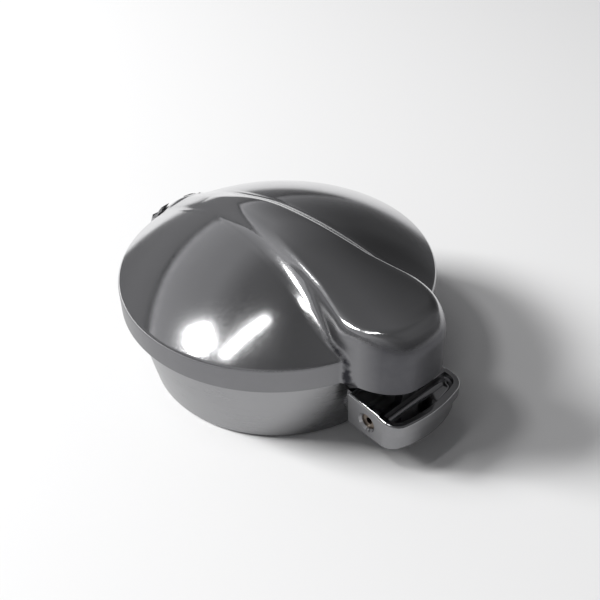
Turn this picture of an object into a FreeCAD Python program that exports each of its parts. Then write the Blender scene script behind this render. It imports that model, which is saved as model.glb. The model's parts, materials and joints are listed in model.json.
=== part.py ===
import FreeCAD, Part
import math
import os

# Flip-up filler cap for a fuel tank, closed and latched.
# Millimetres. Z is up along the neck, the latch is at -Y and the hinge at +Y.
# The origin is the centre of the neck's foot.

os.makedirs("parts", exist_ok=True)

V = FreeCAD.Vector
X_AXIS = V(1, 0, 0)
Y_AXIS = V(0, 1, 0)
Z_AXIS = V(0, 0, 1)

# Fits
RUNNING_GAP = 0.05
FIXED_GAP = 0.01
BODY_GAP = 0.3

# Facets of the spring wires
WIRE_SIDES = 8
WIRE_STEPS_PER_TURN = 20
WIRE_SEW_TOLERANCE = 0.001
END_TURN_RISE = 1.1

# Neck of the body. The tube's radius and the neck's height place the other pieces.
SOCKET_RADIUS = 38.1
SOCKET_SHOULDER = 2.1
THROAT_LENGTH = 8.2
NECK_HEIGHT = 26.2
NECK_WALL = 2.6
FOOT_ROUND = 1.8
NECK_DRAFT = 3.5
NECK_BULGE = 0.4
SPIGOT_WALL = 7.6
SPIGOT_HEIGHT = 4.8
SPIGOT_CHAMFER = 0.6

# Lid
LID_OVERHANG = 6.4
SKIRT_HEIGHT = 8.5
DOME_RISE = 15.0
RIM_ROUND = 0.7
SKIRT_EDGE_ROUND = 0.4
LID_WALL = 3.0
SKIRT_WALL = 3.6
SKIRT_FOOT_HEIGHT = 4.3
SKIRT_FOOT_GAP = 1.0
BOSS_RADIUS = 6.0
BOSS_LENGTH = 7.0
SPRING_SEAT_RADIUS = 11.0
SPRING_SEAT_DEPTH = 1.5

# Spine across the lid: distance ahead of the lid's centre in lid radii, half width at the toe,
# half width at the shoulder, height of the crest above the rim, share of an upright nose wall
SPINE_STATIONS = (
    (-1.16, 10.0, 8.4, -4.3, 0.0),
    (-1.04, 9.8, 8.0, 0.5, 0.0),
    (-0.9, 9.4, 7.2, 4.3, 0.0),
    (-0.72, 8.8, 6.2, 8.9, 0.0),
    (-0.48, 8.4, 5.8, 13.9, 0.0),
    (-0.22, 9.9, 7.4, 17.1, 0.0),
    (0.08, 11.6, 9.0, 17.9, 0.0),
    (0.36, 13.2, 10.6, 16.7, 0.0),
    (0.6, 15.0, 12.0, 14.7, 0.15),
    (0.8, 17.0, 13.6, 13.1, 0.6),
    (0.94, 18.3, 14.4, 12.2, 1.0),
    (1.08, 18.6, 14.6, 11.6, 1.0),
    (1.34, 18.6, 14.6, 10.9, 1.0),
)
SPINE_CROWN = 1.7
CROWN_SHAPE = ((0.86, 0.46), (0.6, 0.17), (0.3, 0.04))
FLANK_LEVELS = (0.34, 0.7)
FLANK_HOLLOW = (0.6, 0.88)
FLANK_WALL = (0.1, 0.26)
FLANK_TOE_OUT = 1.6
FLANK_TOE_DROP = 0.9
FLANK_MIN_RISE = 2.0

# Nose of the lid, over the latch
NOSE_HALF_WIDTH = 17.2
NOSE_OVERHANG = 13.4
NOSE_FRONT_RADIUS = 27.5
NOSE_CORNER_RADIUS = 8.5
NOSE_ROLL_RADIUS = 6.5
NOSE_TOP_ABOVE_RIM = 11.3
NOSE_TOP_SLOPE = 0.12
NOSE_WALL = 3.0
NOSE_CAVITY_HEIGHT = 11.5
NOSE_CAVITY_CORNER = 8.5
CATCH_FACE_OUT = 0.2

# Hinge at the back
HINGE_INSET = 0.1
HINGE_DROP = 4.7
HINGE_PIN_RADIUS = 2.5
KNUCKLE_RADIUS = 5.0
KNUCKLE_OUTER_X = 6.8
KNUCKLE_INNER_X = 4.0
EAR_THICKNESS = 3.2
EAR_GAP = 0.4
HINGE_WASHER_THICKNESS = 0.3
TAIL_OVERHANG = 3.6
TAIL_CORNER_RADIUS = 2.5
TAIL_CLEARANCE = 0.6
HINGE_ARM_DEPTH = 12.0
CLIP_THICKNESS = 0.8
CLIP_RADIUS = 4.2
CLIP_GROOVE_DEPTH = 0.6
CLIP_MOUTH = 3.4
PIN_END_LENGTH = 1.0
PIN_CHAMFER = 0.4

# Torsion spring of the lid
LID_SPRING_WIRE = 1.3
LID_SPRING_TURNS = 3.5
LID_SPRING_GAP = 0.35

# Latch lever, its lug and its pin. Distances out are from the lid's edge and drops from the
# neck's top.
LEVER_PIN_OUT = 4.0
LEVER_PIN_DROP = 12.6
LEVER_PIN_RADIUS = 2.4
LEVER_PIN_RECESS = 1.2
LEVER_PIN_BORE = 1.1
LEVER_PIN_BORE_DEPTH = 3.0
LUG_HALF_WIDTH = 11.8
LUG_RADIUS = 4.2
LUG_SLOT_HALF_WIDTH = 3.2
LEVER_CHEEK_GAP = 0.25
LEVER_HALF_WIDTH = 14.6
LEVER_BOTTOM_DROP = 17.5
LEVER_BACK_OUT = -3.4
LEVER_BACK_TOP_DROP = 6.0
LEVER_FRONT_TOP_DROP = 7.5
LEVER_BLOCK_OUT = 16.6
LEVER_LIP_OUT = 17.4
LEVER_LIP_HALF_WIDTH = 15.0
LEVER_LIP_BOTTOM_DROP = 11.3
LEVER_LIP_START_OUT = 8.0
LEVER_FRONT_RADIUS = 30.0
LEVER_LIP_FRONT_RADIUS = 46.0
LEVER_CORNER_RADIUS = 5.0
LEVER_EDGE_ROUND = 0.7
LEVER_DISH_RIM = 1.9
LEVER_DISH_DEPTH = 2.3
LEVER_DISH_ROUND = 1.6
LEVER_DISH_BACK_OUT = 9.2
LEVER_PIVOT_CLEARANCE = 0.5
PIN_HOLE_CHAMFER = 0.7
HOOK_HALF_WIDTH = 3.6
HOOK_THICKNESS = 2.4
HOOK_TOP_ABOVE_SKIRT = 5.0
HOOK_BARB_HEIGHT = 2.2
HOOK_BARB_LENGTH = 1.8

# Torsion spring of the lever
LEVER_SPRING_WIRE = 0.9
LEVER_SPRING_TURNS = 4.0
LEVER_SPRING_GAP = 0.3
LEVER_SPRING_HOLE_OUT = 11.0
SPRING_HOLE_DEPTH = 3.4
SPRING_HOLE_GAP = 0.15

# Grub screw that locks the lever's pin
GRUB_RADIUS = 1.5
GRUB_LENGTH = 2.6
GRUB_X_INSET = 6.6
GRUB_SOCKET_RADIUS = 0.75
GRUB_SOCKET_DEPTH = 1.2

# Spring-steel catch inside the nose
CATCH_HALF_WIDTH = 7.5
CATCH_THICKNESS = 0.8
CATCH_TOP_ABOVE_SKIRT = 10.2
CATCH_LIP_ABOVE_SKIRT = 1.6
CATCH_LIP_LENGTH = 3.0
CATCH_BEND_RADIUS = 1.0
CATCH_SCREW_X = 4.6
CATCH_SCREW_ABOVE_SKIRT = 7.2
CATCH_SCREW_HEAD_RADIUS = 2.4
CATCH_SCREW_HEAD_HEIGHT = 1.4
CATCH_SCREW_RADIUS = 1.25
CATCH_SCREW_LENGTH = 3.0
SLOT_WIDTH = 0.7
SLOT_DEPTH = 0.6

# Floating seal under the lid
SEAL_EDGE_INSET = 0.4
SEAL_HOLE_INSET = 11.0
SEAL_THICKNESS = 2.2
CARRIER_EDGE_INSET = 2.7
CARRIER_THICKNESS = 1.6
CARRIER_RIB_INSET = 16.5
CARRIER_RIB_HEIGHT = 1.2
CARRIER_RIB_WIDTH = 2.4
CLAMP_GAP = 5.0
CLAMP_THICKNESS = 1.5
CLAMP_SCREW_COUNT = 6
CLAMP_SCREW_INSET = 4.0
CLAMP_SCREW_RADIUS = 1.5
CLAMP_SCREW_HEAD_RADIUS = 2.8
CLAMP_SCREW_PROUD = 0.6
BOLT_SHOULDER_RADIUS = 4.0
BOLT_THREAD_RADIUS = 2.9
BOLT_THREAD_LENGTH = 5.6
BOLT_HEAD_RADIUS = 7.0
BOLT_HEAD_HEIGHT = 2.4
BOLT_HEX_RADIUS = 2.6
BOLT_HEX_DEPTH = 1.6
SPRING_WASHER_RADIUS = 9.6
SPRING_WASHER_THICKNESS = 0.8
PRESSURE_SPRING_WIRE = 1.3
PRESSURE_SPRING_TURNS = 3.0

# Radii and distances that follow from the tube's radius
THROAT_RADIUS = SOCKET_RADIUS - SOCKET_SHOULDER
NECK_FOOT_RADIUS = SOCKET_RADIUS + NECK_WALL
SPIGOT_RADIUS = THROAT_RADIUS + SPIGOT_WALL
LID_RADIUS = SPIGOT_RADIUS + LID_OVERHANG
NOSE_REACH = LID_RADIUS + NOSE_OVERHANG
CATCH_PLANE = LID_RADIUS + CATCH_FACE_OUT
CATCH_LIP_REACH = CATCH_PLANE + CATCH_LIP_LENGTH
TAIL_REACH = LID_RADIUS + TAIL_OVERHANG
HINGE_Y = TAIL_REACH - HINGE_INSET
LEVER_PIN_Y = LID_RADIUS + LEVER_PIN_OUT
LEVER_BACK_Y = LID_RADIUS + LEVER_BACK_OUT
LEVER_BLOCK_REACH = LID_RADIUS + LEVER_BLOCK_OUT
LEVER_LIP_REACH = LID_RADIUS + LEVER_LIP_OUT
LEVER_LIP_START_Y = LID_RADIUS + LEVER_LIP_START_OUT
GRUB_X = LEVER_HALF_WIDTH - GRUB_X_INSET
LEVER_DISH_BACK_Y = LID_RADIUS + LEVER_DISH_BACK_OUT
LEVER_SPRING_HOLE_Y = LID_RADIUS + LEVER_SPRING_HOLE_OUT
SEAL_OUTER_RADIUS = SPIGOT_RADIUS - SEAL_EDGE_INSET
CARRIER_RADIUS = SEAL_OUTER_RADIUS - CARRIER_EDGE_INSET
CARRIER_RIB_RADIUS = CARRIER_RADIUS - CARRIER_RIB_INSET
CLAMP_RADIUS = THROAT_RADIUS - CLAMP_GAP
CLAMP_SCREW_CIRCLE = CLAMP_RADIUS - CLAMP_SCREW_INSET
SEAL_INNER_RADIUS = CLAMP_RADIUS - SEAL_HOLE_INSET

# Heights that follow from the neck's height
SOCKET_DEPTH = NECK_HEIGHT - THROAT_LENGTH
NOSE_TOP_Z = NECK_HEIGHT + SKIRT_HEIGHT + NOSE_TOP_ABOVE_RIM
LEVER_PIN_Z = NECK_HEIGHT - LEVER_PIN_DROP
LEVER_BOTTOM_Z = NECK_HEIGHT - LEVER_BOTTOM_DROP
LEVER_BACK_TOP_Z = NECK_HEIGHT - LEVER_BACK_TOP_DROP
LEVER_FRONT_TOP_Z = NECK_HEIGHT - LEVER_FRONT_TOP_DROP
LEVER_LIP_BOTTOM_Z = NECK_HEIGHT - LEVER_LIP_BOTTOM_DROP
RIM_Z = NECK_HEIGHT + SKIRT_HEIGHT
APEX_Z = RIM_Z + DOME_RISE
SEAT_Z = NECK_HEIGHT + SPIGOT_HEIGHT
HINGE_Z = NECK_HEIGHT - HINGE_DROP
DOME_SPHERE_RADIUS = (LID_RADIUS ** 2 + DOME_RISE ** 2) / (2 * DOME_RISE)
DOME_CENTRE_Z = APEX_Z - DOME_SPHERE_RADIUS
SKIRT_FOOT_RADIUS = SPIGOT_RADIUS + SKIRT_FOOT_GAP
NECK_OUTER_RADIUS = NECK_FOOT_RADIUS + FOOT_ROUND + NECK_DRAFT
EAR_INNER_X = KNUCKLE_OUTER_X + EAR_GAP
EAR_OUTER_X = EAR_INNER_X + EAR_THICKNESS
SEAL_TOP_Z = SEAT_Z + SEAL_THICKNESS
CARRIER_TOP_Z = SEAL_TOP_Z + CARRIER_THICKNESS
CLAMP_BOTTOM_Z = SEAT_Z - CLAMP_THICKNESS
SPRING_SEAT_Z = APEX_Z - LID_WALL - SPRING_SEAT_DEPTH
BOSS_BOTTOM_Z = APEX_Z - LID_WALL - BOSS_LENGTH


def dome_z(radius):
    """Height of the dome's outer face at a distance from the lid's axis."""
    inside = min(radius, LID_RADIUS)
    return DOME_CENTRE_Z + math.sqrt(DOME_SPHERE_RADIUS ** 2 - inside ** 2)


def line(start, end):
    return Part.makeLine(start, end)


def arc(start, middle, end):
    return Part.Arc(start, middle, end).toShape()


def polygon_face(points):
    return Part.Face(Part.makePolygon(list(points) + [points[0]]))


def profile_point(radius, height):
    return V(radius, 0, height)


def turned(points):
    """Solid of revolution about Z from (radius, height) points."""
    face = polygon_face([profile_point(r, z) for r, z in points])
    return face.revolve(V(0, 0, 0), Z_AXIS, 360)


def rod_x(radius, x_start, x_end, y, z):
    return Part.makeCylinder(radius, x_end - x_start, V(x_start, y, z), X_AXIS)


def rod_z(radius, z_start, z_end, x=0.0, y=0.0):
    return Part.makeCylinder(radius, z_end - z_start, V(x, y, z_start), Z_AXIS)


def box(x_start, x_end, y_start, y_end, z_start, z_end):
    size = V(x_end - x_start, y_end - y_start, z_end - z_start)
    return Part.makeBox(size.x, size.y, size.z, V(x_start, y_start, z_start))


def both_sides(shape):
    """The shape fused with its mirror image across the YZ plane."""
    return shape.fuse(shape.mirror(V(0, 0, 0), X_AXIS))


def front_outline(half_width, reach, front_radius, corner_radius, back):
    """Plan outline of a tongue that points to -Y with a curved front and rounded corners."""
    centre_y = -(reach - front_radius)
    corner_x = half_width - corner_radius
    corner_y = centre_y - math.sqrt((front_radius - corner_radius) ** 2 - corner_x ** 2)
    slope = math.atan2(corner_y - centre_y, corner_x)
    tangent = V(front_radius * math.cos(slope), centre_y + front_radius * math.sin(slope), 0)
    half_slope = slope / 2
    middle = V(corner_x + corner_radius * math.cos(half_slope),
               corner_y + corner_radius * math.sin(half_slope), 0)
    side = V(half_width, corner_y, 0)
    rear = V(half_width, -back, 0)
    mirrored = [V(-p.x, p.y, p.z) for p in (tangent, middle, side, rear)]
    edges = [
        line(rear, side),
        arc(side, middle, tangent),
        arc(tangent, V(0, -reach, 0), mirrored[0]),
        arc(mirrored[0], mirrored[1], mirrored[2]),
        line(mirrored[2], mirrored[3]),
        line(mirrored[3], rear),
    ]
    return Part.Wire(edges)


def raised(wire, z_start, z_end):
    face = Part.Face(wire)
    face.translate(V(0, 0, z_start))
    return face.extrude(V(0, 0, z_end - z_start))


def swept_wire(path, wire_radius):
    """Closed wire solid with flat facets, swept through the points of a path."""
    across = V(1, 0, 0)
    points = []
    for index, centre in enumerate(path):
        before = path[max(index - 1, 0)]
        after = path[min(index + 1, len(path) - 1)]
        along = after.sub(before).normalize()
        across = across.sub(along * across.dot(along)).normalize()
        third = along.cross(across)
        for side in range(WIRE_SIDES):
            turn = 2 * math.pi * side / WIRE_SIDES
            points.append(centre + across * (wire_radius * math.cos(turn)) + third * (wire_radius * math.sin(turn)))
    triangles = []
    for ring in range(len(path) - 1):
        for side in range(WIRE_SIDES):
            near = ring * WIRE_SIDES + side
            beside = ring * WIRE_SIDES + (side + 1) % WIRE_SIDES
            triangles += [(near, beside, near + WIRE_SIDES), (beside, beside + WIRE_SIDES, near + WIRE_SIDES)]
    last = (len(path) - 1) * WIRE_SIDES
    for side in range(1, WIRE_SIDES - 1):
        triangles += [(0, side + 1, side), (last, last + side, last + side + 1)]
    shell = Part.Shape()
    shell.makeShapeFromMesh((points, triangles), WIRE_SEW_TOLERANCE)
    return Part.Solid(shell)


def coil_path(coil_radius, start_angle, turns, length):
    """Points of a coil as (distance along its axis, position in the turning plane)."""
    count = int(turns * WIRE_STEPS_PER_TURN)
    path = []
    for index in range(count + 1):
        share = index / count
        turn = math.radians(start_angle) + 2 * math.pi * turns * share
        path.append((length * share, coil_radius * math.cos(turn), coil_radius * math.sin(turn)))
    return path


def make_neck():
    """Turned neck: tube socket, stop shoulder, barrelled outside and the lid's spigot."""
    outer_top = NECK_OUTER_RADIUS
    foot_start = profile_point(NECK_FOOT_RADIUS, 0)
    foot_end = profile_point(NECK_FOOT_RADIUS + FOOT_ROUND, FOOT_ROUND)
    foot_turn = FOOT_ROUND * math.sin(math.radians(45))
    foot_middle = profile_point(NECK_FOOT_RADIUS + foot_turn, FOOT_ROUND - foot_turn)
    shoulder = profile_point(outer_top, NECK_HEIGHT)
    barrel_middle = profile_point((NECK_FOOT_RADIUS + FOOT_ROUND + outer_top) / 2 + NECK_BULGE,
                                  (FOOT_ROUND + NECK_HEIGHT) / 2)
    points = [
        shoulder,
        profile_point(SPIGOT_RADIUS, NECK_HEIGHT),
        profile_point(SPIGOT_RADIUS, SEAT_Z - SPIGOT_CHAMFER),
        profile_point(SPIGOT_RADIUS - SPIGOT_CHAMFER, SEAT_Z),
        profile_point(THROAT_RADIUS, SEAT_Z),
        profile_point(THROAT_RADIUS, SOCKET_DEPTH),
        profile_point(SOCKET_RADIUS, SOCKET_DEPTH),
        profile_point(SOCKET_RADIUS, 0),
        foot_start,
    ]
    edges = [arc(foot_start, foot_middle, foot_end), arc(foot_end, barrel_middle, shoulder)]
    edges += [line(a, b) for a, b in zip(points[:-1], points[1:])]
    face = Part.Face(Part.Wire(edges))
    return face.revolve(V(0, 0, 0), Z_AXIS, 360)


def make_body():
    """Neck with the slotted latch lug in front and the forked hinge knuckle behind."""
    bore_keepout = rod_z(SOCKET_RADIUS + FOOT_ROUND, 0, SEAT_Z)
    lug_start = NECK_FOOT_RADIUS
    arm = box(-LUG_HALF_WIDTH, LUG_HALF_WIDTH, -LEVER_PIN_Y, -(lug_start - FOOT_ROUND),
              LEVER_PIN_Z - LUG_RADIUS, LEVER_PIN_Z + LUG_RADIUS)
    lug = arm.fuse(rod_x(LUG_RADIUS, -LUG_HALF_WIDTH, LUG_HALF_WIDTH, -LEVER_PIN_Y, LEVER_PIN_Z))
    lug = lug.cut(box(-LUG_SLOT_HALF_WIDTH, LUG_SLOT_HALF_WIDTH, -(LEVER_PIN_Y + 2 * LUG_RADIUS),
                      -NECK_OUTER_RADIUS, 0, NECK_HEIGHT))
    root_y = NECK_FOOT_RADIUS - FOOT_ROUND
    side_profile = polygon_face([
        V(0, root_y, HINGE_Z - KNUCKLE_RADIUS - HINGE_ARM_DEPTH / 2),
        V(0, HINGE_Y, HINGE_Z - KNUCKLE_RADIUS),
        V(0, HINGE_Y, HINGE_Z),
        V(0, root_y, HINGE_Z + KNUCKLE_RADIUS / 2),
    ])
    width = 2 * KNUCKLE_OUTER_X
    knuckle = side_profile.extrude(V(width, 0, 0))
    knuckle.translate(V(-KNUCKLE_OUTER_X, 0, 0))
    knuckle = knuckle.fuse(rod_x(KNUCKLE_RADIUS, -KNUCKLE_OUTER_X, KNUCKLE_OUTER_X, HINGE_Y, HINGE_Z))
    fork = box(-KNUCKLE_INNER_X, KNUCKLE_INNER_X, NECK_OUTER_RADIUS, HINGE_Y + 2 * KNUCKLE_RADIUS,
               0, HINGE_Z + 2 * KNUCKLE_RADIUS)
    knuckle = knuckle.cut(fork)
    lugs = lug.fuse(knuckle).cut(bore_keepout)
    body = make_neck().fuse(lugs)
    body = body.cut(rod_x(HINGE_PIN_RADIUS + FIXED_GAP, -EAR_OUTER_X, EAR_OUTER_X, HINGE_Y, HINGE_Z))
    body = body.cut(rod_x(LEVER_PIN_RADIUS + FIXED_GAP, -LEVER_HALF_WIDTH, LEVER_HALF_WIDTH,
                          -LEVER_PIN_Y, LEVER_PIN_Z))
    body = body.cut(rod_z(GRUB_RADIUS + FIXED_GAP, 0, LEVER_PIN_Z, GRUB_X, -LEVER_PIN_Y))
    body = body.cut(spring_holes())
    return body.removeSplitter()


def spring_holes():
    """Holes in the neck for the fixed legs of both torsion springs."""
    wire, coil_radius, length = lid_spring_sizes()
    depth = SPRING_HOLE_DEPTH + wire + SPRING_HOLE_GAP
    rear = Part.makeCylinder(wire + SPRING_HOLE_GAP, 2 * depth,
                             V(-length / 2, NECK_OUTER_RADIUS - depth, HINGE_Z - coil_radius), Y_AXIS)
    wire, coil_radius, length = lever_spring_sizes()
    depth = SPRING_HOLE_DEPTH + wire + SPRING_HOLE_GAP
    front = Part.makeCylinder(wire + SPRING_HOLE_GAP, 2 * depth,
                              V(length / 2, depth - NECK_OUTER_RADIUS, LEVER_PIN_Z - coil_radius), -Y_AXIS)
    return rear.fuse(front)


def spine_flank(ahead, toe_x, shoulder_x, crest, wall_share):
    """Right-hand half of a section from the sunk base to the shoulder, as (x, z) points."""
    toe_z = min(dome_z(math.hypot(ahead, toe_x)), crest - FLANK_MIN_RISE)
    shoulder_z = crest - SPINE_CROWN
    points = [(toe_x + FLANK_TOE_OUT * (1 - wall_share), toe_z - FLANK_TOE_DROP), (toe_x, toe_z)]
    for level, hollow, wall in zip(FLANK_LEVELS, FLANK_HOLLOW, FLANK_WALL):
        inset = hollow + (wall - hollow) * wall_share
        points.append((toe_x - inset * (toe_x - shoulder_x), toe_z + level * (shoulder_z - toe_z)))
    points.append((shoulder_x, shoulder_z))
    points += [(share * shoulder_x, crest - drop * SPINE_CROWN) for share, drop in CROWN_SHAPE]
    return points


def section_points(ahead, flank, crest):
    side = [V(x, -ahead, z) for x, z in flank]
    return side + [V(0, -ahead, crest)] + [V(-p.x, p.y, p.z) for p in reversed(side)]


def chord_steps(sections):
    """Interpolation steps shared by all sections, from their mean chord lengths."""
    total = [0.0]
    for index in range(1, len(sections[0])):
        chord = sum(points[index].distanceToPoint(points[index - 1]) for points in sections)
        total.append(total[-1] + chord)
    return [value / total[-1] for value in total]


def section_wire(points, steps):
    curve = Part.BSplineCurve()
    curve.interpolate(Points=points, Parameters=steps)
    first, last = points[0], points[-1]
    right_foot = V(first.x, first.y, NECK_HEIGHT)
    left_foot = V(last.x, last.y, NECK_HEIGHT)
    edges = [
        curve.toShape(),
        line(last, left_foot),
        line(left_foot, right_foot),
        line(right_foot, first),
    ]
    return Part.Wire(edges)


def nose_block():
    """Block on the nose's plan outline, with a sloping top whose edge rolls over to the walls."""
    outline = front_outline(NOSE_HALF_WIDTH, NOSE_REACH, NOSE_FRONT_RADIUS, NOSE_CORNER_RADIUS,
                            -NOSE_HALF_WIDTH)
    block = raised(outline, NECK_HEIGHT, 2 * APEX_Z)
    rise = NOSE_TOP_SLOPE * NOSE_REACH
    above = polygon_face([
        V(0, -2 * NOSE_REACH, NOSE_TOP_Z - rise),
        V(0, NOSE_REACH, NOSE_TOP_Z + 2 * rise),
        V(0, NOSE_REACH, 3 * APEX_Z),
        V(0, -2 * NOSE_REACH, 3 * APEX_Z),
    ]).extrude(V(4 * NOSE_HALF_WIDTH, 0, 0))
    above.translate(V(-2 * NOSE_HALF_WIDTH, 0, 0))
    block = block.cut(above)
    lowest = NOSE_TOP_Z - NOSE_ROLL_RADIUS / 2
    top_edges = [e for e in block.Edges if e.BoundBox.ZMin > lowest and e.BoundBox.YMin < 0]
    return block.makeFillet(NOSE_ROLL_RADIUS, top_edges)


def make_spine():
    """Waisted spine and nose lofted over the lid and trimmed to their plan outlines."""
    stations = [(share * LID_RADIUS, toe, shoulder, RIM_Z + rise, wall)
                for share, toe, shoulder, rise, wall in SPINE_STATIONS]
    sections = [section_points(row[0], spine_flank(*row), row[3]) for row in stations]
    steps = chord_steps(sections)
    blank = Part.makeLoft([section_wire(points, steps) for points in sections], True, False)
    rear = front_outline(EAR_OUTER_X + FLANK_TOE_OUT, TAIL_REACH, 4 * TAIL_REACH,
                         TAIL_CORNER_RADIUS, 0)
    rear.rotate(V(0, 0, 0), Z_AXIS, 180)
    trim = nose_block().fuse(raised(rear, NECK_HEIGHT, 2 * APEX_Z))
    return blank.common(trim)


def make_lid_blank():
    """Dome and skirt, turned about the neck's axis."""
    rim_turn = RIM_ROUND * math.sin(math.radians(45))
    rim_side = profile_point(LID_RADIUS, RIM_Z - RIM_ROUND)
    rim_top_r = LID_RADIUS - RIM_ROUND
    rim_top = profile_point(rim_top_r, dome_z(rim_top_r))
    rim_middle = profile_point(LID_RADIUS - RIM_ROUND + rim_turn, RIM_Z - RIM_ROUND + rim_turn)
    half_r = LID_RADIUS / 2
    apex = profile_point(0, APEX_Z)
    edges = [
        line(profile_point(0, NECK_HEIGHT), profile_point(LID_RADIUS - SKIRT_EDGE_ROUND, NECK_HEIGHT)),
        line(profile_point(LID_RADIUS - SKIRT_EDGE_ROUND, NECK_HEIGHT),
             profile_point(LID_RADIUS, NECK_HEIGHT + SKIRT_EDGE_ROUND)),
        line(profile_point(LID_RADIUS, NECK_HEIGHT + SKIRT_EDGE_ROUND), rim_side),
        arc(rim_side, rim_middle, rim_top),
        arc(rim_top, profile_point(half_r, dome_z(half_r)), apex),
        line(apex, profile_point(0, NECK_HEIGHT)),
    ]
    return Part.Face(Part.Wire(edges)).revolve(V(0, 0, 0), Z_AXIS, 360)


def make_lid_hollow():
    """Space under the dome, with the skirt's foot, the spring's seat and the centre boss left."""
    inner_sphere = DOME_SPHERE_RADIUS - LID_WALL
    wall_r = LID_RADIUS - SKIRT_WALL
    foot_top = NECK_HEIGHT + SKIRT_FOOT_HEIGHT

    def roof(radius):
        return DOME_CENTRE_Z + math.sqrt(inner_sphere ** 2 - radius ** 2)

    seat_r = SPRING_SEAT_RADIUS
    middle_r = (seat_r + wall_r) / 2
    points = [
        profile_point(BOSS_RADIUS, NECK_HEIGHT),
        profile_point(SKIRT_FOOT_RADIUS, NECK_HEIGHT),
        profile_point(SKIRT_FOOT_RADIUS, foot_top),
        profile_point(wall_r, foot_top + SKIRT_FOOT_GAP),
        profile_point(wall_r, roof(wall_r)),
    ]
    edges = [line(a, b) for a, b in zip(points[:-1], points[1:])]
    seat_edge = profile_point(seat_r, roof(seat_r))
    seat_rim = profile_point(seat_r, SPRING_SEAT_Z)
    seat_root = profile_point(BOSS_RADIUS, SPRING_SEAT_Z)
    edges.append(arc(points[-1], profile_point(middle_r, roof(middle_r)), seat_edge))
    edges += [line(seat_edge, seat_rim), line(seat_rim, seat_root), line(seat_root, points[0])]
    ring = Part.Face(Part.Wire(edges)).revolve(V(0, 0, 0), Z_AXIS, 360)
    return ring.fuse(rod_z(BOSS_RADIUS, NECK_HEIGHT, BOSS_BOTTOM_Z))


def nose_cavity():
    """Hollow of the nose, in front of the face that carries the catch."""
    outline = front_outline(NOSE_HALF_WIDTH - NOSE_WALL, NOSE_REACH - NOSE_WALL,
                            NOSE_FRONT_RADIUS - NOSE_WALL, NOSE_CAVITY_CORNER, CATCH_PLANE)
    return raised(outline, 0, NECK_HEIGHT + NOSE_CAVITY_HEIGHT)


def make_lid():
    """Lid with its spine, nose, hinge ears and the hollows under them."""
    lid = make_lid_blank().fuse(make_spine())
    ear_back = HINGE_Y + KNUCKLE_RADIUS
    ear_front = HINGE_Y - KNUCKLE_RADIUS
    ear = box(EAR_INNER_X, EAR_OUTER_X, ear_front, TAIL_REACH, HINGE_Z, NECK_HEIGHT + SKIRT_HEIGHT / 2)
    ear = ear.fuse(rod_x(KNUCKLE_RADIUS, EAR_INNER_X, EAR_OUTER_X, HINGE_Y, HINGE_Z))
    heel = polygon_face([
        V(0, TAIL_REACH, RIM_Z - SKIRT_HEIGHT / 4),
        V(0, ear_back, HINGE_Z),
        V(0, HINGE_Y, HINGE_Z),
        V(0, HINGE_Y, RIM_Z - SKIRT_HEIGHT / 4),
    ]).extrude(V(EAR_OUTER_X - EAR_INNER_X, 0, 0))
    heel.translate(V(EAR_INNER_X, 0, 0))
    lid = lid.fuse(both_sides(ear.fuse(heel)))
    lid = lid.cut(make_lid_hollow())
    knuckle_room = rod_x(KNUCKLE_RADIUS + TAIL_CLEARANCE, -EAR_INNER_X, EAR_INNER_X, HINGE_Y, HINGE_Z)
    lid = lid.cut(knuckle_room)
    lid = lid.cut(nose_cavity())
    lid = lid.cut(rod_x(HINGE_PIN_RADIUS + RUNNING_GAP, -LID_RADIUS, LID_RADIUS, HINGE_Y, HINGE_Z))
    lid = lid.cut(rod_z(BOLT_THREAD_RADIUS + FIXED_GAP, 0, BOSS_BOTTOM_Z + BOLT_THREAD_LENGTH + BODY_GAP))
    for x in (-CATCH_SCREW_X, CATCH_SCREW_X):
        hole = Part.makeCylinder(CATCH_SCREW_RADIUS + FIXED_GAP, CATCH_SCREW_LENGTH + BODY_GAP,
                                 V(x, -CATCH_PLANE, NECK_HEIGHT + CATCH_SCREW_ABOVE_SKIRT), Y_AXIS)
        lid = lid.cut(hole)
    return lid


def make_hinge_pin():
    half = EAR_OUTER_X + CLIP_THICKNESS + PIN_END_LENGTH + BODY_GAP
    pin = rod_x(HINGE_PIN_RADIUS, -half, half, HINGE_Y, HINGE_Z)
    pin = pin.makeChamfer(PIN_CHAMFER, [e for e in pin.Edges if e.Closed])
    groove_radius = HINGE_PIN_RADIUS - CLIP_GROOVE_DEPTH
    groove_start = EAR_OUTER_X + BODY_GAP / 2
    groove = rod_x(HINGE_PIN_RADIUS * 2, groove_start, groove_start + CLIP_THICKNESS + FIXED_GAP,
                   HINGE_Y, HINGE_Z)
    groove = groove.cut(rod_x(groove_radius, groove_start, half, HINGE_Y, HINGE_Z))
    return pin.cut(both_sides(groove))


def make_hinge_clip(side):
    """Open retaining ring in the hinge pin's groove."""
    start = EAR_OUTER_X + BODY_GAP / 2 + FIXED_GAP / 2
    if side < 0:
        start = -start - CLIP_THICKNESS
    inner = HINGE_PIN_RADIUS - CLIP_GROOVE_DEPTH + FIXED_GAP
    clip = rod_x(CLIP_RADIUS, start, start + CLIP_THICKNESS, HINGE_Y, HINGE_Z)
    clip = clip.cut(rod_x(inner, start, start + CLIP_THICKNESS, HINGE_Y, HINGE_Z))
    mouth = box(start, start + CLIP_THICKNESS, HINGE_Y - CLIP_MOUTH / 2, HINGE_Y + CLIP_MOUTH / 2,
                HINGE_Z - 2 * CLIP_RADIUS, HINGE_Z)
    return clip.cut(mouth)


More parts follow.
